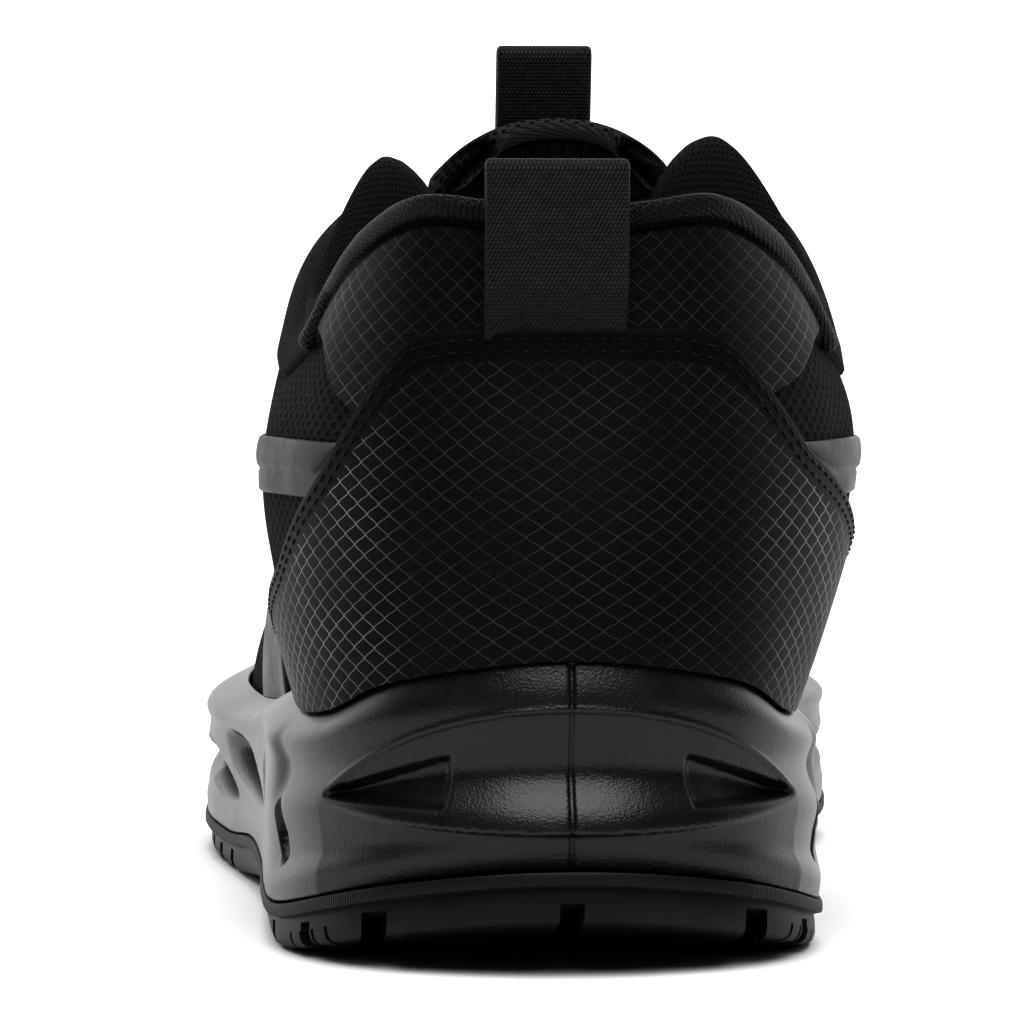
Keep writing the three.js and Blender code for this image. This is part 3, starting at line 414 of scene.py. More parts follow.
def grid_bmesh(points, uv=None, weld=False, edge=None):
    """bmesh's grid with its corners at an array of points. Faces look outwards where s runs before t."""
    rows, width = points.shape[:2]
    bm = bmesh.new()
    bmesh.ops.create_grid(bm, x_segments=width - 1, y_segments=rows - 1, size=1)
    bm.verts.ensure_lookup_table()
    for vert, place in zip(bm.verts, to_frame(points).reshape(-1, 3)):
        vert.co = place
    flat = (flat_size(points) if uv is None else uv).reshape(-1, 2)
    layer = bm.loops.layers.uv.new("UVMap")
    for face in bm.faces:
        for loop in face.loops:
            loop[layer].uv = flat[loop.vert.index]
    if edge is not None:
        margin = bm.verts.layers.float.new("margin")
        for vert, distance in zip(bm.verts, edge.reshape(-1)):
            vert[margin] = distance
    if weld:
        bmesh.ops.remove_doubles(bm, verts=bm.verts, dist=1e-6)
    return bm


# %% Shader helpers
def feed(tree, made, inputs):
    """Each input of a node gets a link or a plain value."""
    for key, value in inputs.items():
        if isinstance(value, bpy.types.NodeSocket):
            tree.links.new(value, made.inputs[key])
        else:
            made.inputs[key].default_value = value
    return made


def node(tree, kind, inputs=None, **settings):
    made = tree.nodes.new("ShaderNode" + kind)
    for key, value in settings.items():
        setattr(made, key, value)
    return feed(tree, made, inputs or {})


def maths(tree, operation, a, b=0.0, clamp=False):
    return node(tree, "Math", {0: a, 1: b}, operation=operation, use_clamp=clamp).outputs[0]


def times(tree, a, b):
    return maths(tree, "MULTIPLY", a, b)


def plus(tree, a, b):
    return maths(tree, "ADD", a, b)


def ramp(tree, value, low, high, start=0.0, end=1.0):
    """Maps a value from low..high to start..end with soft ends."""
    inputs = {"Value": value, "From Min": low, "From Max": high, "To Min": start, "To Max": end}
    return node(tree, "MapRange", inputs, interpolation_type="SMOOTHSTEP").outputs[0]


def blend_colour(tree, share, a, b):
    return node(tree, "Mix", {0: share, 6: a, 7: b}, data_type="RGBA").outputs[2]


def grey(value):
    """A linear colour of a given lightness."""
    return (value, value, value, 1)


def scaled(colour, factor):
    return tuple(factor * part for part in colour[:3]) + (1,)


def new_material(name, colour, roughness, gloss=0.5):
    material = bpy.data.materials.new(name)
    material.use_nodes = True
    tree = material.node_tree
    shader = tree.nodes["Principled BSDF"]
    feed(tree, shader, {"Base Color": colour, "Roughness": roughness, "Specular IOR Level": gloss})
    print("material:", name)
    return material, tree, shader


def bump(tree, shader, height, strength, distance):
    inputs = {"Height": height, "Strength": strength, "Distance": distance * MM}
    tree.links.new(node(tree, "Bump", inputs).outputs[0], shader.inputs["Normal"])


def new_group(name, inputs, outputs):
    """A node group with named float or vector inputs and float outputs."""
    tree = bpy.data.node_groups.new(name, "ShaderNodeTree")
    for label, default in inputs.items():
        kind = "NodeSocketVector" if default is None else "NodeSocketFloat"
        socket = tree.interface.new_socket(label, in_out="INPUT", socket_type=kind)
        if default is not None:
            socket.default_value = default
    for label in outputs:
        tree.interface.new_socket(label, in_out="OUTPUT", socket_type="NodeSocketFloat")
    return tree, tree.nodes.new("NodeGroupInput").outputs, tree.nodes.new("NodeGroupOutput").inputs


def place_group(tree, group, inputs):
    return feed(tree, node(tree, "Group", node_tree=group), inputs).outputs


def uv_of(tree):
    return node(tree, "UVMap", uv_map="UVMap").outputs[0]


def object_of(tree):
    return node(tree, "TexCoord").outputs["Object"]


# %% [markdown]
# The camera comes first. It stands behind the heel, a little to its left and above the collar's back, and a
# long lens flattens the shoe as in the photograph.

# %% Camera
CAMERA_PLACE = (-0.07277, -0.952, 0.094)
CAMERA_YAW = 4.03
CAMERA_PITCH = -2.06
camera_data = bpy.data.cameras.new("camera")
camera_data.lens = 204.9
camera_data.sensor_width = 36
camera = show("camera", camera_data)
camera.location = CAMERA_PLACE
camera.rotation_euler = (math.radians(90 + CAMERA_PITCH), 0, math.radians(-CAMERA_YAW))
bpy.context.scene.camera = camera
print("camera:", camera.location[:], "lens", camera_data.lens)

# %% [markdown]
# Several finishes share the same effects, so each effect is one node group: moulding grain with dust on it,
# a net of raised threads, small holes in staggered rows, and the fine weave of a cloth. They read a
# position in metres or a flat size in millimetres, and give heights and masks that vary over the surface.

# %% Shared effects
def fraction(tree, value, size, shift=0.0):
    """How far a value is from the middle of its own cell, from -0.5 to 0.5, in cells of a size."""
    cells = plus(tree, maths(tree, "DIVIDE", value, size), shift)
    return maths(tree, "SUBTRACT", maths(tree, "FRACT", cells), 0.5)


def split(tree, vector):
    return node(tree, "SeparateXYZ", {0: vector}).outputs


def noise(tree, vector, scale, detail=2.0, roughness=0.5):
    inputs = {"Vector": vector, "Scale": scale, "Detail": detail, "Roughness": roughness}
    return node(tree, "TexNoise", inputs).outputs[0]


def make_grain():
    """Pebbled skin and scattered dust of a moulding. Vector is in metres."""
    inputs = {"Vector": None, "Pebbles": 2600.0, "Dust": 0.3}
    tree, given, result = new_group("moulded_grain", inputs, ["Height", "Dust"])
    pebbles = noise(tree, given["Vector"], given["Pebbles"], 1.0)
    swell = noise(tree, given["Vector"], times(tree, given["Pebbles"], 0.12), 2.0)
    height = plus(tree, times(tree, pebbles, 0.8), times(tree, swell, 0.5))
    specks = node(tree, "TexVoronoi", {"Vector": given["Vector"], "Scale": 420.0}).outputs["Distance"]
    spots = ramp(tree, specks, 0.05, 0.09, 1.0, 0.0)
    patches = ramp(tree, noise(tree, given["Vector"], 160.0, 4.0, 0.7), 0.5, 0.75)
    film_of_dust = ramp(tree, noise(tree, given["Vector"], 55.0, 5.0, 0.65), 0.35, 0.8)
    dust = plus(tree, times(tree, spots, patches), times(tree, film_of_dust, 0.35))
    tree.links.new(height, result["Height"])
    tree.links.new(maths(tree, "MULTIPLY", dust, given["Dust"], clamp=True), result["Dust"])
    return tree


def make_net():
    """Two families of slanting threads. Vector is the cloth's flat size in millimetres."""
    inputs = {"Vector": None, "Wide": 4.3, "Tall": 2.9, "Line": 0.043, "Wave": 0.022}
    tree, given, result = new_group("ripstop_net", inputs, ["Line", "Puff"])
    u, v, _ = split(tree, given["Vector"])
    across, up = maths(tree, "DIVIDE", u, given["Wide"]), maths(tree, "DIVIDE", v, given["Tall"])
    lines, gaps = [], []
    for kind, turn in (("ADD", 1), ("SUBTRACT", -1)):
        other = "SUBTRACT" if turn > 0 else "ADD"
        wave = maths(tree, "SINE", times(tree, maths(tree, other, across, up), 2 * math.pi))
        value = plus(tree, maths(tree, kind, across, up), times(tree, wave, given["Wave"]))
        distance = maths(tree, "ABSOLUTE", fraction(tree, value, 1.0, 0.5))
        lines.append(ramp(tree, distance, times(tree, given["Line"], 0.4), given["Line"], 1.0, 0.0))
        gaps.append(distance)
    tree.links.new(maths(tree, "MAXIMUM", *lines), result["Line"])
    tree.links.new(times(tree, ramp(tree, gaps[0], 0.0, 0.3), ramp(tree, gaps[1], 0.0, 0.3)), result["Puff"])
    return tree


def make_holes():
    """Round holes in staggered rows. Vector is the cloth's flat size in millimetres."""
    inputs = {"Vector": None, "Across": 2.2, "Up": 1.4, "Radius": 0.5, "Softness": 0.25}
    tree, given, result = new_group("staggered_holes", inputs, ["Hole"])
    u, v, _ = split(tree, given["Vector"])
    rows = maths(tree, "FLOOR", maths(tree, "DIVIDE", v, given["Up"]))
    shift = times(tree, maths(tree, "MODULO", maths(tree, "ABSOLUTE", rows), 2.0), 0.5)
    x = times(tree, fraction(tree, u, given["Across"], shift), given["Across"])
    y = times(tree, fraction(tree, v, given["Up"]), given["Up"])
    distance = maths(tree, "SQRT", plus(tree, times(tree, x, x), times(tree, y, y)))
    rim = plus(tree, given["Radius"], given["Softness"])
    tree.links.new(ramp(tree, distance, given["Radius"], rim, 1.0, 0.0), result["Hole"])
    return tree


def make_weave():
    """Threads over and under. Vector is the cloth's flat size in millimetres, Pitch a thread's width."""
    tree, given, result = new_group("fine_weave", {"Vector": None, "Pitch": 0.3}, ["Height"])
    waves = []
    for axis in split(tree, given["Vector"])[:2]:
        turn = times(tree, maths(tree, "DIVIDE", axis, given["Pitch"]), math.pi)
        waves.append(maths(tree, "SINE", turn))
    tree.links.new(maths(tree, "ABSOLUTE", times(tree, *waves)), result["Height"])
    return tree


moulded_grain, ripstop_net, staggered_holes, fine_weave = make_grain(), make_net(), make_holes(), make_weave()
print("shared effects:", [tree.name for tree in bpy.data.node_groups])

# %% [markdown]
# The moulded parts are black foam and black rubber. Foam has a satin skin with a pebbled grain, so its
# broad curves catch the studio's light, while rubber is duller. Pale dust has settled on both, in patches
# and single specks.

# %% Foam and rubber
RIB_SPACING = 0.55


def moulded_material(name, colour, dusty, roughness, gloss, pebbles, dust, strength, relief, ribbed=False):
    material, tree, shader = new_material(name, colour, roughness, gloss)
    grain = place_group(tree, moulded_grain, {"Vector": object_of(tree), "Pebbles": pebbles, "Dust": dust})
    dusted = blend_colour(tree, grain["Dust"], colour, dusty)
    rough = ramp(tree, grain["Dust"], 0.0, 0.6, roughness, min(1.0, roughness + 0.3))
    feed(tree, shader, {"Base Color": dusted, "Roughness": rough})
    height = grain["Height"]
    if ribbed:
        ribs = node(tree, "Attribute", attribute_name="margin").outputs["Fac"]
        wave = maths(tree, "SINE", times(tree, split(tree, uv_of(tree))[0], 2 * math.pi / RIB_SPACING))
        height = plus(tree, height, times(tree, times(tree, wave, ribs), 0.9))
    bump(tree, shader, height, strength, relief)
    return material


foam = moulded_material("midsole_foam", (0.0055, 0.0057, 0.0062, 1), (0.06, 0.062, 0.064, 1),
                        0.34, 0.45, 2700.0, 0.42, 0.55, 0.15)
rubber = moulded_material("outsole_rubber", (0.0055, 0.0057, 0.006, 1), (0.06, 0.06, 0.06, 1),
                          0.5, 0.22, 3000.0, 0.4, 0.6, 0.14, ribbed=True)

# %% [markdown]
# The counter and the panel are coated ripstop: a fine dark weave crossed by a net of thicker, paler
# threads, with a painted highlight on the threads at the heel's sides, strongest low down. Along its edge the
# cloth is folded and pressed, so the net stops short of it. The attribute margin, the distance from the cut
# edge in millimetres, draws that plain border.

# %% Ripstop
def ripstop_material():
    colour = (0.0062, 0.0076, 0.0082, 1)
    material, tree, shader = new_material("ripstop", colour, 0.42, 0.05)
    flat = uv_of(tree)
    net = place_group(tree, ripstop_net, {"Vector": flat})
    weave = place_group(tree, fine_weave, {"Vector": flat, "Pitch": 0.3})
    border = node(tree, "Attribute", attribute_name="margin").outputs["Fac"]
    inside = ramp(tree, border, 4.6, 5.2)
    worn = ramp(tree, noise(tree, object_of(tree), 90.0, 3.0), 0.3, 0.7, 0.45, 1.0)
    line = times(tree, times(tree, net["Line"], inside), worn)
    cloudy = ramp(tree, noise(tree, object_of(tree), 28.0, 3.0), 0.3, 0.7)
    base = blend_colour(tree, cloudy, colour, (0.0088, 0.0102, 0.012, 1))
    edge = blend_colour(tree, inside, (0.0054, 0.007, 0.0072, 1), base)
    # Painted highlight: the net's threads are painted much paler on the heel's sides, fading towards the middle
    # and higher up, for the grazing light they catch there.
    x, _, z = split(tree, object_of(tree))
    from_middle = maths(tree, "ABSOLUTE", plus(tree, x, 0.006))
    painted_flank_highlight = times(tree, ramp(tree, from_middle, 0.022, 0.036), ramp(tree, z, 0.062, 0.088, 1.0, 0.2))
    threads = blend_colour(tree, painted_flank_highlight, (0.04, 0.047, 0.045, 1), (0.26, 0.29, 0.285, 1))
    rough = ramp(tree, line, 0.0, 1.0, 0.46, 0.28)
    feed(tree, shader, {"Base Color": blend_colour(tree, line, edge, threads), "Roughness": rough})
    relief = plus(tree, times(tree, line, 0.5), times(tree, net["Puff"], 0.22))
    fine = times(tree, weave["Height"], ramp(tree, inside, 0.0, 1.0, 0.14, 0.3))
    bump(tree, shader, plus(tree, relief, fine), 0.5, 0.22)
    return material


ripstop = ripstop_material()

# %% [markdown]
# The upper's main cloth is a padded mesh with open holes, the collar's roll has a much finer mesh, and both
# are the same material with other sizes. The tongue has a paler mesh with large holes.

# %% Meshes
def mesh_material(name, colour, across, up, radius, softness, depth, thread, stretch=1.0):
    material, tree, shader = new_material(name, colour, 0.85, 0.12)
    flat = uv_of(tree)
    squeezed = node(tree, "VectorMath", {0: flat, 1: (1 / stretch, 1, 1)}, operation="MULTIPLY").outputs[0]
    sizes = {"Vector": squeezed, "Across": across, "Up": up, "Radius": radius, "Softness": softness}
    hole = place_group(tree, staggered_holes, sizes)["Hole"]
    weave = place_group(tree, fine_weave, {"Vector": flat, "Pitch": thread})["Height"]
    fuzz = noise(tree, object_of(tree), 1500.0, 2.0)
    shade = times(tree, plus(tree, weave, fuzz), 0.5)
    cloth = blend_colour(tree, shade, colour, scaled(colour, 1.9))
    feed(tree, shader, {"Base Color": blend_colour(tree, hole, cloth, scaled(colour, 0.22))})
    height = maths(tree, "SUBTRACT", times(tree, shade, 0.35), hole)
    bump(tree, shader, height, 0.8, depth)
    return material


air_mesh = mesh_material("air_mesh", (0.0105, 0.0115, 0.012, 1), 1.9, 1.2, 0.36, 0.3, 0.6, 0.28, 2.0)
fine_mesh = mesh_material("fine_mesh", (0.0085, 0.009, 0.0095, 1), 0.95, 0.8, 0.12, 0.2, 0.22, 0.2)
tongue_mesh = mesh_material("tongue_mesh", (0.026, 0.028, 0.03, 1), 1.5, 1.2, 0.28, 0.25, 0.4, 0.22)
sockliner = mesh_material("sockliner", (0.006, 0.0062, 0.0066, 1), 0.8, 0.8, 0.1, 0.3, 0.1, 0.25)

# %% [markdown]
# Film, webbing, knitted binding, lace and thread finish the list. The webbing's weave shows as short
# slanting threads in staggered rows, the binding's knit as small arrows along it.

# %% Film, webbing, binding, lace and thread
def film_material(name, colour, roughness):
    material, tree, shader = new_material(name, colour, roughness, 0.14)
    scuffs = noise(tree, object_of(tree), 60.0, 5.0, 0.7)
    scuffed = blend_colour(tree, ramp(tree, scuffs, 0.35, 0.7), colour, scaled(colour, 1.5))
    rough = ramp(tree, scuffs, 0.3, 0.7, roughness, roughness + 0.15)
    feed(tree, shader, {"Base Color": scuffed, "Roughness": rough})
    bump(tree, shader, noise(tree, object_of(tree), 2200.0, 1.0), 0.3, 0.05)
    return material


film = film_material("band_film", (0.0105, 0.011, 0.011, 1), 0.36)
eyestay_film = film_material("eyestay_film", (0.009, 0.0092, 0.0095, 1), 0.4)


def woven_material(name, colour, bright, across, up, depth, slant=0.0):
    material, tree, shader = new_material(name, colour, 0.5, 0.2)
    u, v, _ = split(tree, uv_of(tree))
    lean = plus(tree, u, times(tree, fraction(tree, v, up), slant))
    flat = node(tree, "CombineXYZ", {0: lean, 1: v}).outputs[0]
    sizes = {"Vector": flat, "Across": across, "Up": up, "Radius": 0.22 * across, "Softness": 0.3 * across}
    threads = place_group(tree, staggered_holes, sizes)["Hole"]
    fibre = noise(tree, object_of(tree), 900.0, 2.0)
    shine = times(tree, threads, ramp(tree, fibre, 0.3, 0.7, 0.5, 1.0))
    feed(tree, shader, {"Base Color": blend_colour(tree, shine, colour, bright)})
    bump(tree, shader, threads, 0.8, depth)
    return material


webbing = woven_material("webbing", (0.0028, 0.004, 0.004, 1), (0.026, 0.033, 0.031, 1), 0.6, 0.56, 0.2, 0.4)
lace_weave = woven_material("lace_weave", (0.005, 0.0052, 0.0054, 1), (0.025, 0.026, 0.028, 1),
                            0.9, 0.8, 0.25, 0.5)
knit = woven_material("binding_knit", (0.0022, 0.0024, 0.0025, 1), (0.008, 0.009, 0.0094, 1),
                      0.95, 0.85, 0.35, 0.7)
thread, tree, shader = new_material("thread", grey(0.002), 0.5, 0.2)
twist = noise(tree, object_of(tree), 2500.0, 1.0)
feed(tree, shader, {"Base Color": blend_colour(tree, twist, grey(0.0012), grey(0.005))})
bump(tree, shader, twist, 0.5, 0.1)

# %% [markdown]
# The midsole is one moulding. Its wall is drawn on every spoke as a smooth curve through a few forms, which
# sit lower on the flanks than at the heel's back. Then the details are pressed into it: a lens-shaped field
# at the back with an overhanging lower lip, two pockets, a line where the mould's halves met, and long
# slanted grooves and an upright slot on each side.

# %% Midsole
def spline(knots, points, at):
    """A smooth curve through each station's points at its own knots, all read at the same levels."""
    result = np.empty(points.shape[:-2] + (len(at), 3))
    for i, (k, p) in enumerate(zip(knots, points)):
        slopes = np.gradient(p, k, axis=0)
        j = np.clip(np.searchsorted(k, at, side="right") - 1, 0, len(k) - 2)
        h = (k[j + 1] - k[j])[:, None]
        f = ((at - k[j])[:, None]) / h
        start = (1 + 2 * f) * (1 - f) ** 2 * p[j] + f * (1 - f) ** 2 * h * slopes[j]
        result[i] = start + f * f * (3 - 2 * f) * p[j + 1] + f * f * (f - 1) * h * slopes[j + 1]
    return result


# Level and relief of each form at the back, then on the flanks: shares of the wall's height and of SIDE_RELIEF
WALL_FORMS = columns("back back_out flank flank_out", [
    (0.000, -0.10, 0.00, -0.10),
    (0.080, -0.08, 0.12, 0.00),
    (0.160, -0.06, 0.25, -0.32),
    (0.225, -0.06, 0.33, -0.28),
    (0.380, -0.12, 0.49, -0.10),
    (0.620, -0.30, 0.72, -0.52),
    (0.840, -0.34, 0.86, -0.34),
])
FLANK_ROW = 3.6
PILLAR_ROW = 4.35
RIM_LIP = 0.9
RIM_ROLL = ((0.75, 0.3), (0.5, 0.35), (0.2, 0.2))


def midsole_under(y):
    return ground(y) + OUTSOLE_WALL + GAP


def midsole_wall(s, levels):
    _, _, reach = spoke(s)
    back = 1 - smooth(row_at(s) / FLANK_ROW)
    calm = mix(1.0, 0.3, smooth((row_at(s) - PILLAR_ROW + 0.7) / 0.7))
    rim = rim_height(s)
    knots, points = [], []
    for low, low_out, high, high_out in zip(*WALL_FORMS.values()):
        radius = reach + mix(high_out * calm, low_out, back) * SIDE_RELIEF
        foot = midsole_under(on_spoke(s, radius, 0)[..., 1])
        knots.append(mix(high, low, back))
        points.append(on_spoke(s, radius, mix(foot, rim, knots[-1])))
    knots.append(np.ones_like(s))
    points.append(on_upper(s, level_at(s, rim), GAP + RIM_LIP))
    return spline(np.stack(knots, -1), np.stack(points, -2), levels)


# The lens: how far round the back it reaches, its upper and lower edge at the middle and its corners' height
LENS = {"reach": 44.0, "top": 37.5, "bottom": 20.4, "corner": 24.0, "depth": 2.4, "step": 0.45}
POCKET = {"from": 18.3, "to": 43.0, "bottom": 22.9, "top": 31.2, "tip": 24.3, "shallow": 1.3, "deep": 2.6}
SLOT = {"row": 3.78, "height": 17.4, "half_tall": 4.4, "half_wide": 2.9, "deep": 6.0, "lean": 0.2}
GROOVES = columns("row level long tall deep", [
    (5.30, 0.52, 17, 3.0, 3.2),
    (7.15, 0.50, 31, 3.1, 4.4),
    (8.75, 0.42, 27, 3.1, 4.6),
    (10.3, 0.43, 26, 3.0, 4.2),
    (11.9, 0.45, 20, 2.6, 3.6),
])
GROOVE_SLOPE = 0.085


def lens_relief(around, z):
    """The field at the heel's back: a step under its upper edge, a hollow, and a lip along its lower edge."""
    share = np.clip(np.abs(around) / LENS["reach"], 0, 1)
    top = mix(LENS["top"], LENS["corner"], share ** 2)
    bottom = mix(LENS["bottom"], LENS["corner"], share ** 2.5)
    tall = np.maximum(top - bottom, 0.4)
    v = (z - bottom) / tall
    strength = np.clip(tall / (LENS["top"] - LENS["bottom"]) * 1.6, 0, 1)
    hollow = LENS["depth"] * bell(v - 0.5, 0.27) * strength
    corner = smooth((1 - share) / 0.12)
    step = LENS["step"] * smooth((1 - v) * tall / 0.7) * smooth(v * 3) * corner
    ridge = 0.3 * bell(z - top, 0.45) * corner
    under = np.maximum(bottom - z, 0)
    undercut = (0.9 * smooth(under / 0.5) + 0.25 * under) * (1 - share ** 2)
    inside = (v > 0) & (v < 1.0) & (share < 1)
    return np.where(inside, hollow + step, 0) + np.where(share < 1, undercut, 0) - ridge


def pocket_relief(around, z):
    """A wedge that is broad and shallow towards the middle and runs to a deep point outwards."""
    share = (np.abs(around) - POCKET["from"]) / (POCKET["to"] - POCKET["from"])
    tip = np.clip(share, 0, 1)
    top, bottom = mix(POCKET["top"], POCKET["tip"] + 0.7, tip), mix(POCKET["bottom"], POCKET["tip"] - 0.7, tip)
    upper = smooth((top - z) / 0.7)
    lower = smooth((z - bottom) / 1.2)
    inner = smooth(share * (POCKET["to"] - POCKET["from"]) / 2.2)
    outer = smooth((1 - share) * (POCKET["to"] - POCKET["from"]) / 2.4)
    return mix(POCKET["shallow"], POCKET["deep"], tip) * upper * lower * inner * outer


def side_relief(s, forward_of, z, height):
    depth = np.zeros(np.broadcast(s, z).shape)
    for row, level, long, tall, deep in zip(*GROOVES.values()):
        for sign in (1, -1):
            along = forward_of(sign * row, sign)
            middle = float(ground(edge_y(sign * row))) + OUTSOLE_WALL + level * float(height(sign * row))
            over = z - middle - GROOVE_SLOPE * along
            r = np.sqrt((along / long) ** 2 + (over / tall) ** 2)
            depth = np.maximum(depth, deep * smooth((1.15 - r) / 0.6))
    for sign in (1, -1):
        along = forward_of(sign * SLOT["row"], sign) - SLOT["lean"] * (z - SLOT["height"])
        r = np.sqrt((along / SLOT["half_wide"]) ** 2 + ((z - SLOT["height"]) / SLOT["half_tall"]) ** 2)
        ragged = 0.5 * np.sin(3.1 * z + 2 * along) + 0.35 * np.sin(7.3 * z - 4 * along)
        hole = (SLOT["deep"] + ragged) * smooth((1.12 - r) / 0.35)
        throat = bell(along - 1.5, 2.6) * smooth((z - 20) / 5) * smooth((34 - z) / 6)
        depth = np.maximum(depth, np.maximum(hole, 0.9 * throat))
    return depth


def midsole_relief(s, z):
    around = girth(np.where(s > TOE_ROW, s - LOOP, s))

    def forward_of(place, sign):
        return sign * (around - girth(place))

    def height(place):
        return rim_height(place) - ground(edge_y(place)) - OUTSOLE_WALL

    depth = lens_relief(around, z) + pocket_relief(around, z)
    depth = depth + side_relief(s, forward_of, z, height)
    return depth + 0.85 * bell(around, 0.28)


BACK_REACH = 72.0
FRONT = float(girth(TOE_ROW))
back_places = np.arange(0, BACK_REACH, 0.36)
side_places = np.linspace(BACK_REACH, FRONT, 215)
midsole_stations = mirrored(np.concatenate([back_places, side_places]) / FRONT)
WALL_LEVELS = np.linspace(0, 1, 80)


def midsole():
    s = midsole_stations
    _, out, reach = spoke(s)
    wall = midsole_wall(s, WALL_LEVELS)
    wall = wall - out[:, None, :] * midsole_relief(s[:, None], wall[..., 2])[..., None]
    rim = level_at(s, rim_height(s))
    bottom = on_spoke(s, 0 * reach, midsole_under)
    inset = on_spoke(s, reach - 4, midsole_under)
    lips = [on_upper(s, rim, GAP + out_by) + UP * rise_by for out_by, rise_by in RIM_ROLL]
    cup = [on_upper(s, share * rim, 0.4) for share in (0.66, 0.33)]
    bed = on_spoke(s, reach - FEATHER_INSET + 2 * GAP, footbed)
    middle = on_spoke(s, 0 * reach, footbed)
    before, after = [bottom, inset], [*lips, *cup, bed, middle]
    rings = np.concatenate([np.stack(before, 1), wall, np.stack(after, 1)], axis=1)
    bm = sealed(grid_bmesh(rings, weld=True))
    piece = finish_piece("midsole_moulding", bm, foam)
    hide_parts("midsole")


midsole()

# %% [markdown]
# The outsole is a rubber plate with a proud, finely ribbed lip along its top. The tread is cut into it by a
# boolean modifier, as a mould cuts it: chevrons across the ball and the heel, three channels along the heel
# that show as notches in its back edge, and short sipes round the heel's corners.

# %% Outsole
GROOVE_DEPTH = 3.4
GROOVE_WIDTH = 3.4
NOTCH_OFFSET = 27
SIPE = {"width": 0.9, "depth": 2.4, "rows": (2.75, 3.0, 3.25, 3.5)}
OUTSOLE_PROFILE = columns("inset rise ribbed", [
    (3.4, 0, 0), (1.9, 0.2, 0), (1.15, 0.75, 0), (0.8, 1.8, 0), (0.85, 3.4, 0), (1.0, 4.5, 0), (0.6, 4.65, 0.4),
    (-0.1, 4.75, 1), (-0.3, 5.1, 1), (-0.3, 5.7, 1), (-0.3, 6.2, 1), (-0.1, 6.6, 1), (0.5, 6.7, 0), (4, 6.7, 0),
])


def outsole_plate():
    s = mirrored(np.linspace(0, 1, 351))
    _, _, reach = spoke(s)
    rings = [on_spoke(s, 0 * reach, ground), on_spoke(s, 0.6 * reach, ground)]
    for inset, rise_by in zip(OUTSOLE_PROFILE["inset"], OUTSOLE_PROFILE["rise"]):
        rings.append(on_spoke(s, reach - inset, lambda y: ground(y) + rise_by))
    rings.append(on_spoke(s, 0 * reach, lambda y: ground(y) + OUTSOLE_WALL))
    aside = smooth((np.minimum(girth(s), GIRTH - girth(s)) - 26) / 12)
    ribbed = aside[:, None] * np.concatenate([[0, 0], OUTSOLE_PROFILE["ribbed"], [0]])[None, :]
    points = np.stack(rings, axis=1)
    uv = np.stack(together(girth(s)[:, None], np.arange(points.shape[1])[None, :]), -1)
    bm = sealed(grid_bmesh(points, uv, weld=True, edge=ribbed))
    return finish_piece("outsole_tread", bm, rubber)


def closed_sweep(rings):
    """A closed solid from rings of points: the ring is welded and its ends are filled."""
    return sealed(grid_bmesh(np.concatenate([rings, rings[:, :1]], axis=1), weld=True))


def channel(path, width=GROOVE_WIDTH, depth=GROOVE_DEPTH):
    """The cutter for one groove, along a list of (x, y) places on the sole."""
    path = np.array(path, float)
    ahead = np.gradient(path, axis=0)
    across = unit(np.stack([ahead[:, 1], -ahead[:, 0]], -1)) * width / 2
    rings = []
    for side, rise_by in ((-1, -depth), (1, -depth), (1, depth), (-1, depth)):
        place = path + side * across
        rings.append(np.column_stack([place, ground(np.maximum(place[:, 1], 0)) + rise_by]))
    return closed_sweep(np.stack(rings, axis=1))


def tread_cutters():
    lengthwise = np.array([-0.02, 0.04, 0.09, 0.15, 0.26]) * SOLE_LENGTH
    cutters = [channel([(x, y) for y in lengthwise]) for x in (-NOTCH_OFFSET, 0, NOTCH_OFFSET)]
    flex = np.array([0.6, 0.68, 0.76, 0.84, 0.92]) * SOLE_LENGTH
    cutters.append(channel([(spine_x(y), y) for y in flex]))
    for share in (0.115, 0.185, 0.56, 0.61, 0.66, 0.71, 0.76, 0.81, 0.86, 0.91):
        y = share * SOLE_LENGTH
        sides = y - 0.06 * SOLE_LENGTH
        cutters.append(channel([(-BALL_WIDTH, sides), (spine_x(y), y), (BALL_WIDTH, sides)]))
    for row in SIPE["rows"]:
        for s in (row, -row):
            _, _, reach = spoke(s)
            ends = [on_spoke(s, reach - 7, 0)[:2], on_spoke(s, reach + 2, 0)[:2]]
            cutters.append(channel(ends, SIPE["width"], SIPE["depth"]))
    return cutters


outsole = outsole_plate()
tread = cut_away(outsole, tread_cutters())
tread.shade_smooth()
tread.set_sharp_from_angle(angle=math.radians(38))
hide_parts("outsole")

# %% [markdown]
# The upper is cloth outside and lining inside, with foam between them along the collar. It is one ring of
# sections: up the outer face, over the edge and down the lining. The mesh swells a little where it isn't
# held down, so the outer face is lifted there by a soft hump.

# %% Upper
QUARTER_PUFF = 0.4
SETTLE = 4.6
ROLL_END = 6.9
CLOTH_TOP = 0.955


def settled(points, s, t):
    """The collar's front corners sink a little under their own padding."""
    share = bell(row_at(s) - 5.9, 0.8) * smooth((t - 0.6) / 0.4)
    return points - UP * (SETTLE * share)[..., None]


def quarter_puff(s, t):
    row = row_at(s)
    hump = np.sin(np.pi * np.clip((t - 0.45) / 0.5, 0, 1))
    return QUARTER_PUFF * smooth((row - 2.6) / 1.2) * smooth((7.2 - row) / 1.5) * hump


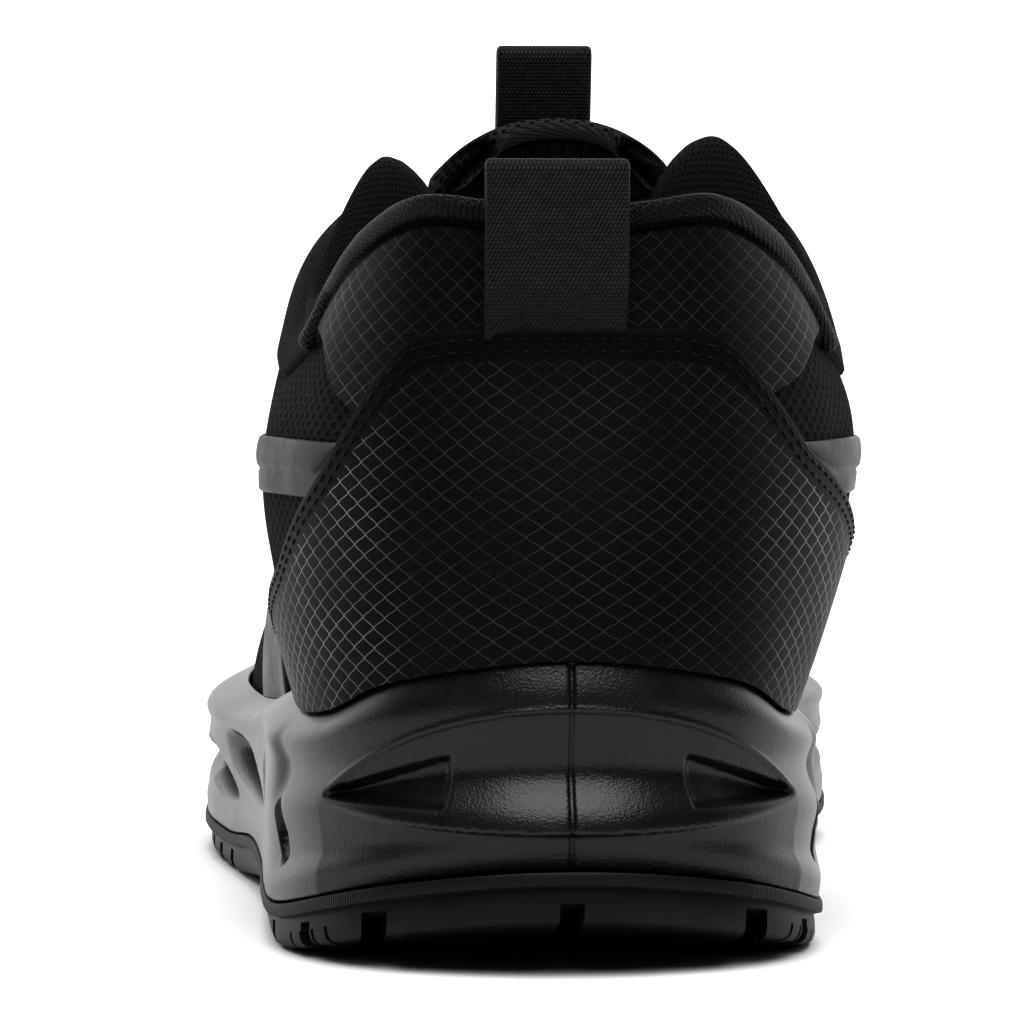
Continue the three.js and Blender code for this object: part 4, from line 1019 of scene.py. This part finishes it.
def upper_shell():
    s = mirrored(np.linspace(0, 1, 211))[:, None]
    t = np.linspace(0, 1, 48)[None, :]
    top = mix(CLOTH_TOP, 1.0, smooth((row_at(s) - ROLL_END + 0.4) / 0.5))
    t = t * top
    outer = settled(on_upper(s, t, quarter_puff(s, t)), s, t)
    down = np.linspace(1, 0, 26)[None, :] * top
    inner = settled(on_upper(s, down, -wall_at(s, down)), s, down)
    inner[..., 2] = np.maximum(inner[..., 2], footbed(inner[..., 1]) + GAP)
    shut = (row_at(s) >= THROAT_ROW)[..., None]
    turns = np.linspace(0, np.pi, 9)[1:-1][None, :, None]
    first, last = outer[:, -1:], inner[:, :1]
    lift = 0.04 * np.linalg.norm(first - last, axis=-1, keepdims=True)
    roll = mix(first, last, (1 - np.cos(turns)) / 2) + np.where(shut, 0, lift * np.sin(turns)) * UP
    points = np.concatenate([outer, roll, inner, outer[:, :1]], axis=1)
    bm = sealed(grid_bmesh(points, flat_size(points), weld=True))
    piece = finish_piece("upper_cloth", bm, air_mesh)
    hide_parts("upper")


upper_shell()

# %% [markdown]
# The collar's padded roll is its own cut of finer mesh, stuffed with foam. Outside it starts at a seam,
# swells past the cloth below it, turns over the edge and goes down inside.

# %% Collar roll
COLLAR_SEAM = columns("row height", [
    (0, 106.0), (2.0, 106.0), (2.7, 98.0), (3.4, 90.5), (4.2, 86.5), (5.0, 83.5), (6.0, 86.0), (6.9, 96.0),
])
ROLL_PUFF = 1.1
PEAK_PAD = 2.8
PEAK_PUFF = 2.2
ROLL_TOP = 1.0


def collar_roll():
    s = s_at(np.linspace(girth(-ROLL_END), girth(ROLL_END), 300))[:, None]
    seam = level_at(s, np.interp(row_at(s), COLLAR_SEAM["row"], COLLAR_SEAM["height"]))
    seam = np.minimum(seam, 0.96)
    share = np.linspace(0, 1, 20)[None, :]
    t = mix(seam, ROLL_TOP, share)
    taper = smooth((ROLL_END - row_at(s)) / 0.5)
    rounded = np.sqrt(np.clip(1 - (1 - 2 * np.minimum(share, 0.5)) ** 2, 0, 1))
    swell = quarter_puff(s, t) + 0.35 + ROLL_PUFF * taper * rounded
    swell = np.where(row_at(s) < 2.4, 0.3, mix(0.3, swell, smooth((row_at(s) - 2.4) / 0.8)))
    swell = swell + PEAK_PUFF * bell(row_at(s) - 5.7, 0.9) * smooth((share - 0.15) / 0.6)
    outer = settled(on_upper(s, t, swell - 1.2 * (1 - smooth(share / 0.08))), s, t)
    down = np.linspace(ROLL_TOP, 0.46, 22)[None, :]
    peak = bell(row_at(s) - 5.8, 0.9) * smooth((down - 0.8) / 0.15)
    pad = 0.5 * taper * np.sin(np.pi * np.linspace(0, 1, 22))[None, :] + PEAK_PAD * peak
    inner = settled(on_upper(s, down, -wall_at(s, down) - pad - 0.2), s, down)
    first, last = outer[:, -1:], inner[:, :1]
    turns = np.linspace(0, np.pi, 11)[1:-1][None, :, None]
    wide = np.linalg.norm(first - last, axis=-1, keepdims=True)
    lift = 0.42 * wide * smooth((row_at(s) - 1.5) / 2.5)[..., None]
    roll = mix(first, last, (1 - np.cos(turns)) / 2) + lift * np.sqrt(np.sin(turns)) * UP
    hidden = on_upper(s, np.full_like(down[:, -1:], 0.46), -1.0)
    back = on_upper(s, seam, -1.0)
    points = np.concatenate([back, outer, roll, inner, hidden, back], axis=1)
    bm = sealed(grid_bmesh(points, flat_size(points), weld=True))
    piece = finish_piece("collar_roll", bm, fine_mesh)
    return piece


collar_roll()

# %% [markdown]
# The counter's cover and the collar's panel lie on the upper like cut cloth. Each is a grid between two
# edges whose border drops to the cloth below in a rounded fold. The distance to the cut edge goes into the
# attribute margin.

# %% Counter, panel and their margins
COUNTER_EDGE = columns("row lateral medial", [
    (0, 0.832, 0.832), (1.5, 0.83, 0.831), (2, 0.818, 0.818), (2.33, 0.775, 0.78),
    (3, 0.648, 0.677), (4, 0.52, 0.6), (5, 0.45, 0.53), (6, 0.375, 0.44),
])
PANEL_EDGE = columns("row lateral medial", [
    (0, 0.81, 0.81), (2.5, 0.71, 0.74), (3, 0.745, 0.765), (3.4, 0.81, 0.81), (4.1, 0.835, 0.835),
])
COUNTER_END = 6
PANEL_END = 4.1


def eased(s, row, values, reach=0.12):
    """A table read with its corners rounded."""
    shifts = np.linspace(-reach, reach, 7)
    return np.mean([np.interp(row_at(np.asarray(s) + shift), row, values) for shift in shifts], axis=0)


def along_edge(table, s):
    outer, inner = (eased(s, table["row"], table[side]) for side in ("lateral", "medial"))
    return np.where(np.asarray(s) % LOOP < TOE_ROW, outer, inner) * COLLAR_HEIGHT


def counter_top(s):
    return along_edge(COUNTER_EDGE, s)


def panel_foot(s):
    return np.maximum(along_edge(PANEL_EDGE, s), counter_top(s) - 3)


def margins(points, edges):
    """How far each point of a sheet is from lines given as lists of points."""
    line = np.concatenate(edges)
    return np.array([np.sqrt(((row[:, None] - line[None]) ** 2).sum(-1)).min(axis=1) for row in points])


FLAT_SHARE = 0.94
STRAP_PLACE = 0.03 * COLLAR_WIDTH
STRAP_REACH = 13


def folded_sheet(name, s, low, high, count, lift, fold, edges, level, material,
                 thickness=1.0, border=None, bulge=0):
    """A sheet between two levels. edges names the borders folded down: any of low, high, start and end."""
    s = s[:, None]
    t = mix(low[:, None], high[:, None], (1 - np.cos(np.pi * np.linspace(0, 1, count))) / 2)
    lift = lift + quarter_puff(s, t)
    if bulge:
        over_strap = np.exp(-(((girth(s) - STRAP_PLACE) / STRAP_REACH) ** 6))
        lift = lift + bulge * over_strap * smooth((t - high[:, None] + 0.12) / 0.08)
    flat = on_upper(s, t, lift)
    picked = {"low": flat[:, 0], "high": flat[:, -1], "start": flat[0], "end": flat[-1]}
    margin = margins(flat, [picked[edge] for edge in edges])
    drop = fold * (1 - np.sqrt(np.clip(1 - (1 - np.clip(margin / (1.3 * fold), 0, 1)) ** 2, 0, 1)))
    points = on_upper(s, t, lift - drop)
    plain = margin if border is None else margins(flat, [picked[edge] for edge in border])
    flat = np.stack(together(FLAT_SHARE * girth(s), points[..., 2] - level), -1)
    bm = grid_bmesh(points, flat, edge=plain)
    return finish_piece(name, bm, material, 60, thickness), (s[:, 0], t, margin, lift + 0 * t)


def seam_path(sheet, distance):
    """The line on a sheet at a distance from its folded edges, found going down from its top."""
    s, t, margin, lift = sheet
    place = np.array([np.interp(distance, m[::-1], levels[::-1]) for m, levels in zip(margin, t)])
    height = np.array([np.interp(at, levels, lifts) for at, levels, lifts in zip(place, t, lift)])
    return on_upper(s, place, height + 0.05), outward(s, place)


def even_places(path, spacing):
    lengths = lengths_along(path)
    return np.arange(spacing / 2, lengths[-1], spacing), lengths


def stitch_row(name, rows, spacing=2.7, length=2.1, width=0.42):
    """Short threads half sunk in the cloth, along each path of points with its normals."""
    bm = bmesh.new()
    for path, normals in rows:
        places, lengths = even_places(path, spacing)
        for place in places:
            ends = place + np.array([-0.3, 0.3])
            here, ahead = np.stack([np.interp(ends, lengths, axis) for axis in path.T], -1)
            normal = unit(np.array([np.interp(place, lengths, axis) for axis in normals.T])[None])[0]
            along = unit((ahead - here)[None])[0]
            side = np.cross(normal, along)
            axes = np.column_stack([along * length / 2, side * width / 2, normal * width / 2])
            frame_of = Matrix(axes.tolist()).to_4x4()
            middle = to_frame((here + ahead) / 2)
            place_at = Matrix.Translation(Vector(middle)) @ Matrix.Scale(MM, 4) @ frame_of
            bmesh.ops.create_icosphere(bm, subdivisions=1, radius=1, matrix=place_at)
    return finish_piece(name, bm, thread)


def on_rim(s):
    return level_at(s, rim_height(s) + 0.4)


counter_places = s_at(np.arange(girth(-COUNTER_END), girth(COUNTER_END), 1.0))
counter_high = level_at(counter_places, counter_top(counter_places))
counter_piece, counter_sheet = folded_sheet(
    "heel_counter_cloth", counter_places, on_rim(counter_places), counter_high, 90, 1.9, 1.1, ["high"], 60,
    ripstop, bulge=1.0)
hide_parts("heel_counter")

panel_places = s_at(np.arange(girth(-PANEL_END), girth(PANEL_END), 0.9))
panel_low = level_at(panel_places, panel_foot(panel_places))
panel_piece, _ = folded_sheet(
    "collar_panel_cloth", panel_places, panel_low, np.full_like(panel_low, 0.965), 46, 1.5, 1.0,
    ["high", "start", "end"], 95, ripstop, border=["start", "end"])
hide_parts("collar_panel")
stitch_row("counter_stitches", [seam_path(counter_sheet, 1.9), seam_path(counter_sheet, 3.6)])

# %% Knitted binding along the collar's edge
def oval(across, up, count=14):
    turns = np.linspace(0, 2 * np.pi, count, endpoint=False)
    return np.column_stack([across / 2 * np.cos(turns), up / 2 * np.sin(turns)])


def strap_section(width, thickness):
    """A flat strap's section with rounded edges, counted from the middle of its upper side."""
    turns = np.linspace(-np.pi / 2, np.pi / 2, 5)
    edge = width / 2 - thickness / 2
    right = np.column_stack([edge + thickness / 2 * np.cos(turns), thickness / 2 * np.sin(turns)])
    flat = np.linspace(edge, -edge, 9)[1:-1]
    top = np.column_stack([flat, np.full(7, thickness / 2)])
    return np.concatenate([right, top, -right, -top])


def swept(path, normals, section, widths=None):
    """A closed section of (across, up) pairs carried along a path, closed at its ends, with its flat size."""
    ahead = unit(np.gradient(path, axis=0))
    across = unit(np.cross(ahead, normals))
    up = np.cross(across, ahead)
    widths = np.ones(len(path)) if widths is None else widths
    ring = np.concatenate([section, section[:1]])
    aside = across[:, None] * ring[None, :, :1] * widths[:, None, None]
    points = path[:, None] + aside + up[:, None] * ring[None, :, 1:]
    uv = np.stack(together(lengths_along(ring)[None, :], lengths_along(path)[:, None]), -1)
    return sealed(grid_bmesh(points, uv, weld=True))


def binding():
    s = s_at(np.linspace(girth(-PANEL_END), girth(PANEL_END), 260))
    level = 0.985 - 0.08 * smooth((row_at(s) - 3.75) / 0.35)
    path = on_upper(s, level, quarter_puff(s, level) + 0.9) + UP * 1.3
    bm = swept(path, outward(s, level), oval(3.4, 3.0))
    return finish_piece("collar_binding", bm, knit)


binding()

# %% [markdown]
# The film on each side is one band behind, with a thicker upper half above a crease, and a saddle from the
# sole up to the eyestay. The eyestays are strips of film with punched holes.

# %% Film bands and eyestays
BAND = {"low": 0.605, "high": 0.68, "start": 2.8, "crease": 0.42}
SADDLE_START = 7.0
BAND_END = 8.2
EYESTAY_EDGE = columns("row level", [(6.6, 0.84), (7.5, 0.8), (8.6, 0.8), (9.7, 0.84)])
EYESTAY_START = 6.65
EYESTAY_END = 9.65
EYELETS = (6.95, 7.45, 7.95, 8.4, 8.85)
EYELET_LEVEL = 0.905
EYELET_RADIUS = 2.3


def eyestay_edge(s):
    return np.interp(row_at(s), EYESTAY_EDGE["row"], EYESTAY_EDGE["level"])


def side_places_of(sign, start, end, step=1.2):
    places = s_at(np.arange(girth(start), girth(end), step))
    return places if sign > 0 else -places[::-1]


def side_band(sign, side):
    s = side_places_of(sign, BAND["start"], SADDLE_START + 0.3)
    low = level_at(s, np.maximum(BAND["low"] * COLLAR_HEIGHT, counter_top(s) - 1.0))
    high = level_at(s, np.maximum(BAND["high"] * COLLAR_HEIGHT, counter_top(s) - 0.8))
    share = np.linspace(0, 1, 24)[None, :]
    t = mix(low[:, None], high[:, None], share)
    above = np.clip((share - BAND["crease"]) / (1 - BAND["crease"]), 0, 1)
    thick = np.where(share < BAND["crease"], 0.3, 0.5 + 0.3 * np.sin(np.pi * above))
    pressed = 0.4 * (1 - smooth(np.minimum(share, 1 - share) / 0.05))
    thick = thick - 0.35 * bell(share - BAND["crease"], 0.035) - pressed
    points = on_upper(s[:, None], t, quarter_puff(s[:, None], t) + 0.3 + thick)
    strip = finish_piece(f"side_band_{side}_film", grid_bmesh(points), film, 60, 0.8)
    s = side_places_of(sign, SADDLE_START, BAND_END)
    folded_sheet(
        f"side_saddle_{side}_film", s, on_rim(s), eyestay_edge(s) + 0.02, 40, 1.0, 0.7,
        ["start", "end"], 60, film, 0.7)
    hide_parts(f"side_band_{side}")


for sign, side in ((1, "lateral"), (-1, "medial")):
    side_band(sign, side)


def eyestay(sign, side):
    s = side_places_of(sign, EYESTAY_START, EYESTAY_END, 1.0)
    high = np.where(row_at(s) >= THROAT_ROW, 0.97, 0.985)
    strip, _ = folded_sheet(
        f"eyestay_{side}_film", s, eyestay_edge(s), high, 26, 1.7, 0.8,
        ["low", "high", "start", "end"], 60, eyestay_film, 1.0)
    radius = EYELET_RADIUS * MM
    punches = []
    for row in EYELETS:
        place, normal = on_upper(sign * row, EYELET_LEVEL, 1.0), outward(sign * row, EYELET_LEVEL)
        turn = Vector(normal).to_track_quat("Z", "Y").to_matrix().to_4x4()
        where = Matrix.Translation(Vector(to_frame(place))) @ turn
        punches.append(bmesh.new())
        bmesh.ops.create_cone(punches[-1], cap_ends=True, segments=32, radius1=radius, radius2=radius,
                              depth=8 * MM, matrix=where)
    cut_away(strip, punches)
    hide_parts(f"eyestay_{side}")


for sign, side in ((1, "lateral"), (-1, "medial")):
    eyestay(sign, side)

# %% [markdown]
# A lace is flat woven tape. Each crossing comes up out of one eyelet, where the tape is squeezed narrow,
# lies over the tongue and goes down into the next eyelet on the other side.

# %% Laces
LACE_WIDTH = 5
LACE_THICKNESS = 1.5


def bezier_path(points, count):
    """A smooth path through points given in order."""
    points = np.array(points, float)
    knots = lengths_along(points)
    return spline(knots[None], points[None], np.linspace(0, knots[-1], count))[0], knots / knots[-1]


def lace_crossing(start, end, raised):
    rest = 1.7 + LACE_THICKNESS / 2 + 0.3
    levels = (EYELET_LEVEL, EYELET_LEVEL + 0.012, 0.94, 0.985)
    lifts = (-1.2, 1.6, rest + 0.4, rest + 0.7 + raised / 2)
    halves = [[on_upper(s, t, lift) for t, lift in zip(levels, lifts)] for s in (start, end)]
    normals = [[outward(s, t) for t in levels] for s in (start, end)]
    middle_normal = unit((normals[0][-1] + normals[1][-1])[None])[0]
    middle = (halves[0][-1] + halves[1][-1]) / 2 + middle_normal * (1.2 + raised)
    points = halves[0] + [middle] + halves[1][::-1]
    facing = normals[0] + [middle_normal] + normals[1][::-1]
    path, knots = bezier_path(points, 40)
    at = np.linspace(0, 1, 40)
    normal = unit(np.stack([np.interp(at, knots, axis) for axis in np.array(facing).T], -1))
    squeeze = mix(0.62, 1.0, smooth(np.minimum(at, 1 - at) / 0.16))
    return swept(path, normal, strap_section(LACE_WIDTH, LACE_THICKNESS), squeeze)


def laces():
    bm = bmesh.new()
    crossings = []
    for lower, upper in zip(EYELETS[1:], EYELETS[:-1]):
        crossings += [(lower, -upper, 0.0), (-lower, upper, 1.5)]
    crossings.append((EYELETS[-1], -EYELETS[-1], 0.0))
    for start, end, raised in crossings:
        run = mesh_of("lace_run", lace_crossing(start, end, raised))
        bm.from_mesh(run)
        bpy.data.meshes.remove(run)
    piece = finish_piece("lace_crossings", bm, lace_weave)
    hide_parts("laces")


laces()

# %% [markdown]
# The tongue is a soft pad. Its middle surface runs under the eyestays and rises above them, and its
# thickness swells from a rounded edge. Inside, a seam follows the edge where the mesh meets the lining.

# %% Tongue
TONGUE_THICKNESS = 6
TONGUE_RISE = 20
TONGUE_ROWS = columns("row wing clear", [
    (9.6, 0.76, 3), (9, 0.74, 3), (8.5, 0.75, 3), (8, 0.78, 3), (7.5, 0.84, 4), (7.1, 0.96, 9),
])
TONGUE_CREST = columns("along up centre half arch", [
    (0.413, 1.012, 0.040, 0.185, 0.10),
    (0.408, 1.045, 0.048, 0.275, 0.16),
    (0.402, 1.080, 0.056, 0.305, 0.30),
    (0.394, 1.116, 0.061, 0.285, 0.46),
    (0.389, 1.138, 0.061, 0.190, 0.24),
])
TONGUE_COLUMNS = 4


def tongue_frame():
    """Points across the tongue's outer side, a row for each section from its foot to its crest."""
    rows = []
    for row, wing, clear in zip(*TONGUE_ROWS.values()):
        t = mix(wing, 0.995, np.arange(TONGUE_COLUMNS) / (TONGUE_COLUMNS - 1))
        left, right = (on_upper(side * row, t, -(wall_at(side * row, t) + clear * GAP)) for side in (1, -1))
        middle = (left[-1] + right[-1]) / 2 + UP * (0 if row >= THROAT_ROW else 1.5)
        rows.append(np.concatenate([left, middle[None], right[::-1]]))
    turns = (np.arange(2 * TONGUE_COLUMNS + 1) / TONGUE_COLUMNS - 1) * np.pi / 2
    for along, up, centre, half, arch in zip(*TONGUE_CREST.values()):
        fall = (1 - np.cos(turns)) * arch * TONGUE_RISE
        x = centre * BALL_WIDTH + np.sin(turns) * half * COLLAR_WIDTH
        rows.append(np.column_stack([x, along * SOLE_LENGTH - 0.3 * fall, up * COLLAR_HEIGHT - fall]))
    return np.array(rows)


def refine(points, count, axis):
    """A smooth surface through rows of points, with more rows along one axis."""
    points = np.moveaxis(points, axis, 1)
    knots = np.broadcast_to(np.arange(points.shape[1], dtype=float), points.shape[:2])
    dense = spline(knots, points, np.linspace(0, points.shape[1] - 1, count))
    return np.moveaxis(dense, 1, axis)


def tongue():
    outer = refine(refine(tongue_frame(), 110, 0), 49, 1)
    normal = unit(np.cross(np.gradient(outer, axis=1), np.gradient(outer, axis=0)))
    normal = np.where(normal[..., 2:] < 0, -normal, normal)
    across = np.abs(np.linspace(-1, 1, 49))[None, :]
    along = np.linspace(0, 1, 110)[:, None]
    crown = np.sqrt(np.clip(1 - np.clip((along - 0.9) / 0.1, 0, 1) ** 2, 0, 1))
    swell = 0.12 + 0.88 * np.sqrt(np.clip(1 - across ** 4, 0, 1)) * crown
    edge = np.minimum((1 - across) * 26, (1 - along) * 75)
    seam = 0.9 * bell(edge - 6.2, 0.8) + 0.5 * smooth((edge - 6.2) / 2)
    middle = outer - normal * TONGUE_THICKNESS / 2
    front = middle + normal * (TONGUE_THICKNESS / 2 * swell)[..., None]
    back = middle - normal * ((TONGUE_THICKNESS / 2 - seam) * swell)[..., None]
    points = np.concatenate([front, back[:, ::-1], front[:, :1]], axis=1)
    margin = np.concatenate([edge, edge[:, ::-1], edge[:, :1]], axis=1)
    bm = sealed(grid_bmesh(points, flat_size(points), weld=True, edge=margin))
    piece = finish_piece("tongue_pad", bm, tongue_mesh)
    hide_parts("tongue")


tongue()

# %% [markdown]
# Each pull loop is one strap of webbing folded over at the top, its two layers close together and sewn in
# at the foot. The heel's loop stands on the panel and the tongue's on the tongue's front.

# %% Pull loops
WEBBING_THICKNESS = 1.3
LOOP_OPENING = 1.2


def webbing_loop(name, node_name, width, centre, foot, top, back, pinch):
    """back(z) is how far forward the middle between the layers lies. pinch closes the layers at the foot."""
    arm = (WEBBING_THICKNESS + LOOP_OPENING) / 2
    crown = top - arm - WEBBING_THICKNESS / 2
    rise_to = np.linspace(foot, crown, 26)
    turns = np.linspace(0, np.pi, 13)[1:-1]
    spread = arm * mix(1 - pinch, 1.0, smooth((rise_to - foot) / 7))
    inner = np.column_stack([np.full(26, centre), [float(back(z)) for z in rise_to] + spread, rise_to])
    outer = np.column_stack([np.full(26, centre), [float(back(z)) for z in rise_to] - spread, rise_to])
    fold_y = float(back(crown))
    fold = np.column_stack([np.full(11, centre), fold_y + arm * np.cos(turns), crown + arm * np.sin(turns)])
    path = np.concatenate([inner, fold, outer[::-1]])
    ahead = unit(np.gradient(path, axis=0))
    normals = np.cross(np.array([1.0, 0, 0]), ahead)
    bm = swept(path, normals, strap_section(width, WEBBING_THICKNESS))
    piece = finish_piece(name, bm, webbing, 50)
    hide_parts(node_name)


HEEL_LOOP = {"width": 20, "centre": -0.03 * COLLAR_WIDTH,
             "foot": 0.795 * COLLAR_HEIGHT, "top": 1.045 * COLLAR_HEIGHT}
TONGUE_LOOP = {"width": 15, "centre": 0.047 * BALL_WIDTH,
               "foot": 1.04 * COLLAR_HEIGHT, "top": 1.235 * COLLAR_HEIGHT}


def heel_loop_back(z):
    off = mix(1.2, 4.3, smooth((z - HEEL_LOOP["foot"] - 2) / 9))
    return on_upper(0.0, min(0.985, float(level_at(0.0, z))), off)[1]


def tongue_loop_back(z):
    return 0.4165 * SOLE_LENGTH - 0.25 * (z - TONGUE_LOOP["foot"])


webbing_loop("heel_loop_strap", "heel_loop", back=heel_loop_back, pinch=0.9, **HEEL_LOOP)
webbing_loop("tongue_loop_strap", "tongue_loop", back=tongue_loop_back, pinch=0.5, **TONGUE_LOOP)

# %% Insole
def insole():
    s = mirrored(np.linspace(0, 1, 131))
    _, _, reach = spoke(s)
    edge = FEATHER_INSET + UPPER_WALL + 4 * GAP
    low, high = lambda y: footbed(y) + GAP, lambda y: footbed(y) + GAP + INSOLE_THICKNESS
    rings = [on_spoke(s, 0 * reach, low), on_spoke(s, reach - edge, low)]
    rings += [on_spoke(s, reach - edge, lambda y: high(y) - 0.6), on_spoke(s, reach - edge - 0.6, high)]
    for share, dish in ((0.75, 0.5), (0.5, 1.1), (0.25, 1.3), (0.0, 1.3)):
        rings.append(on_spoke(s, share * (reach - edge), lambda y: high(y) - dish))
    bm = sealed(grid_bmesh(np.stack(rings, axis=1), weld=True))
    piece = finish_piece("insole_pad", bm, sockliner, 50)
    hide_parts("insole")


insole()

# %% [markdown]
# The stage is a pale floor that fades into a white surround. Tall soft panels stand on both sides and
# beyond the shoe, one soft light hangs above, and the side of the camera is darker, so black surfaces that
# face the camera stay black and the flanks shine.

# %% Stage and light
floor_bm = bmesh.new()
bmesh.ops.create_grid(floor_bm, x_segments=1, y_segments=1, size=2)
floor = show("floor", mesh_of("floor", floor_bm))
floor.data.materials.append(new_material("pale_floor", grey(0.9), 0.7)[0])

LIT_PLACE = Vector((0, -0.05, 0.06))
for side, across in (("left", -1.3), ("right", 1.3)):
    panel_light = bpy.data.lights.new(f"{side}_side", "AREA")
    panel_light.shape, panel_light.size, panel_light.size_y, panel_light.energy = "RECTANGLE", 1.4, 1.0, 2
    panel = show(panel_light.name, panel_light)
    panel.location = (across, 0.5, 0.5)
    panel.rotation_euler = (LIT_PLACE - panel.location).to_track_quat("-Z", "Y").to_euler()
overhead = bpy.data.lights.new("overhead", "SUN")
overhead.energy, overhead.angle = 3.3, 1.05
sun = show("overhead", overhead)
sun.rotation_euler = (math.radians(28), 0, 0)
print("lights:", [light.name for light in bpy.data.lights])


def studio_world():
    world = bpy.data.worlds.new("studio")
    bpy.context.scene.world = world
    world.use_nodes = True
    tree = world.node_tree
    background = tree.nodes["Background"]
    background.inputs["Color"].default_value = grey(1.0)
    direction = split(tree, node(tree, "TexCoord").outputs["Generated"])
    behind = ramp(tree, direction[1], -0.05, 1.0, 0.015, 1.2)
    seen = node(tree, "LightPath").outputs["Is Camera Ray"]
    tree.links.new(maths(tree, "MAXIMUM", behind, times(tree, seen, 1.1)), background.inputs["Strength"])


studio_world()
bpy.context.scene.view_settings.view_transform = "Standard"
bpy.context.scene.view_settings.look = "High Contrast"
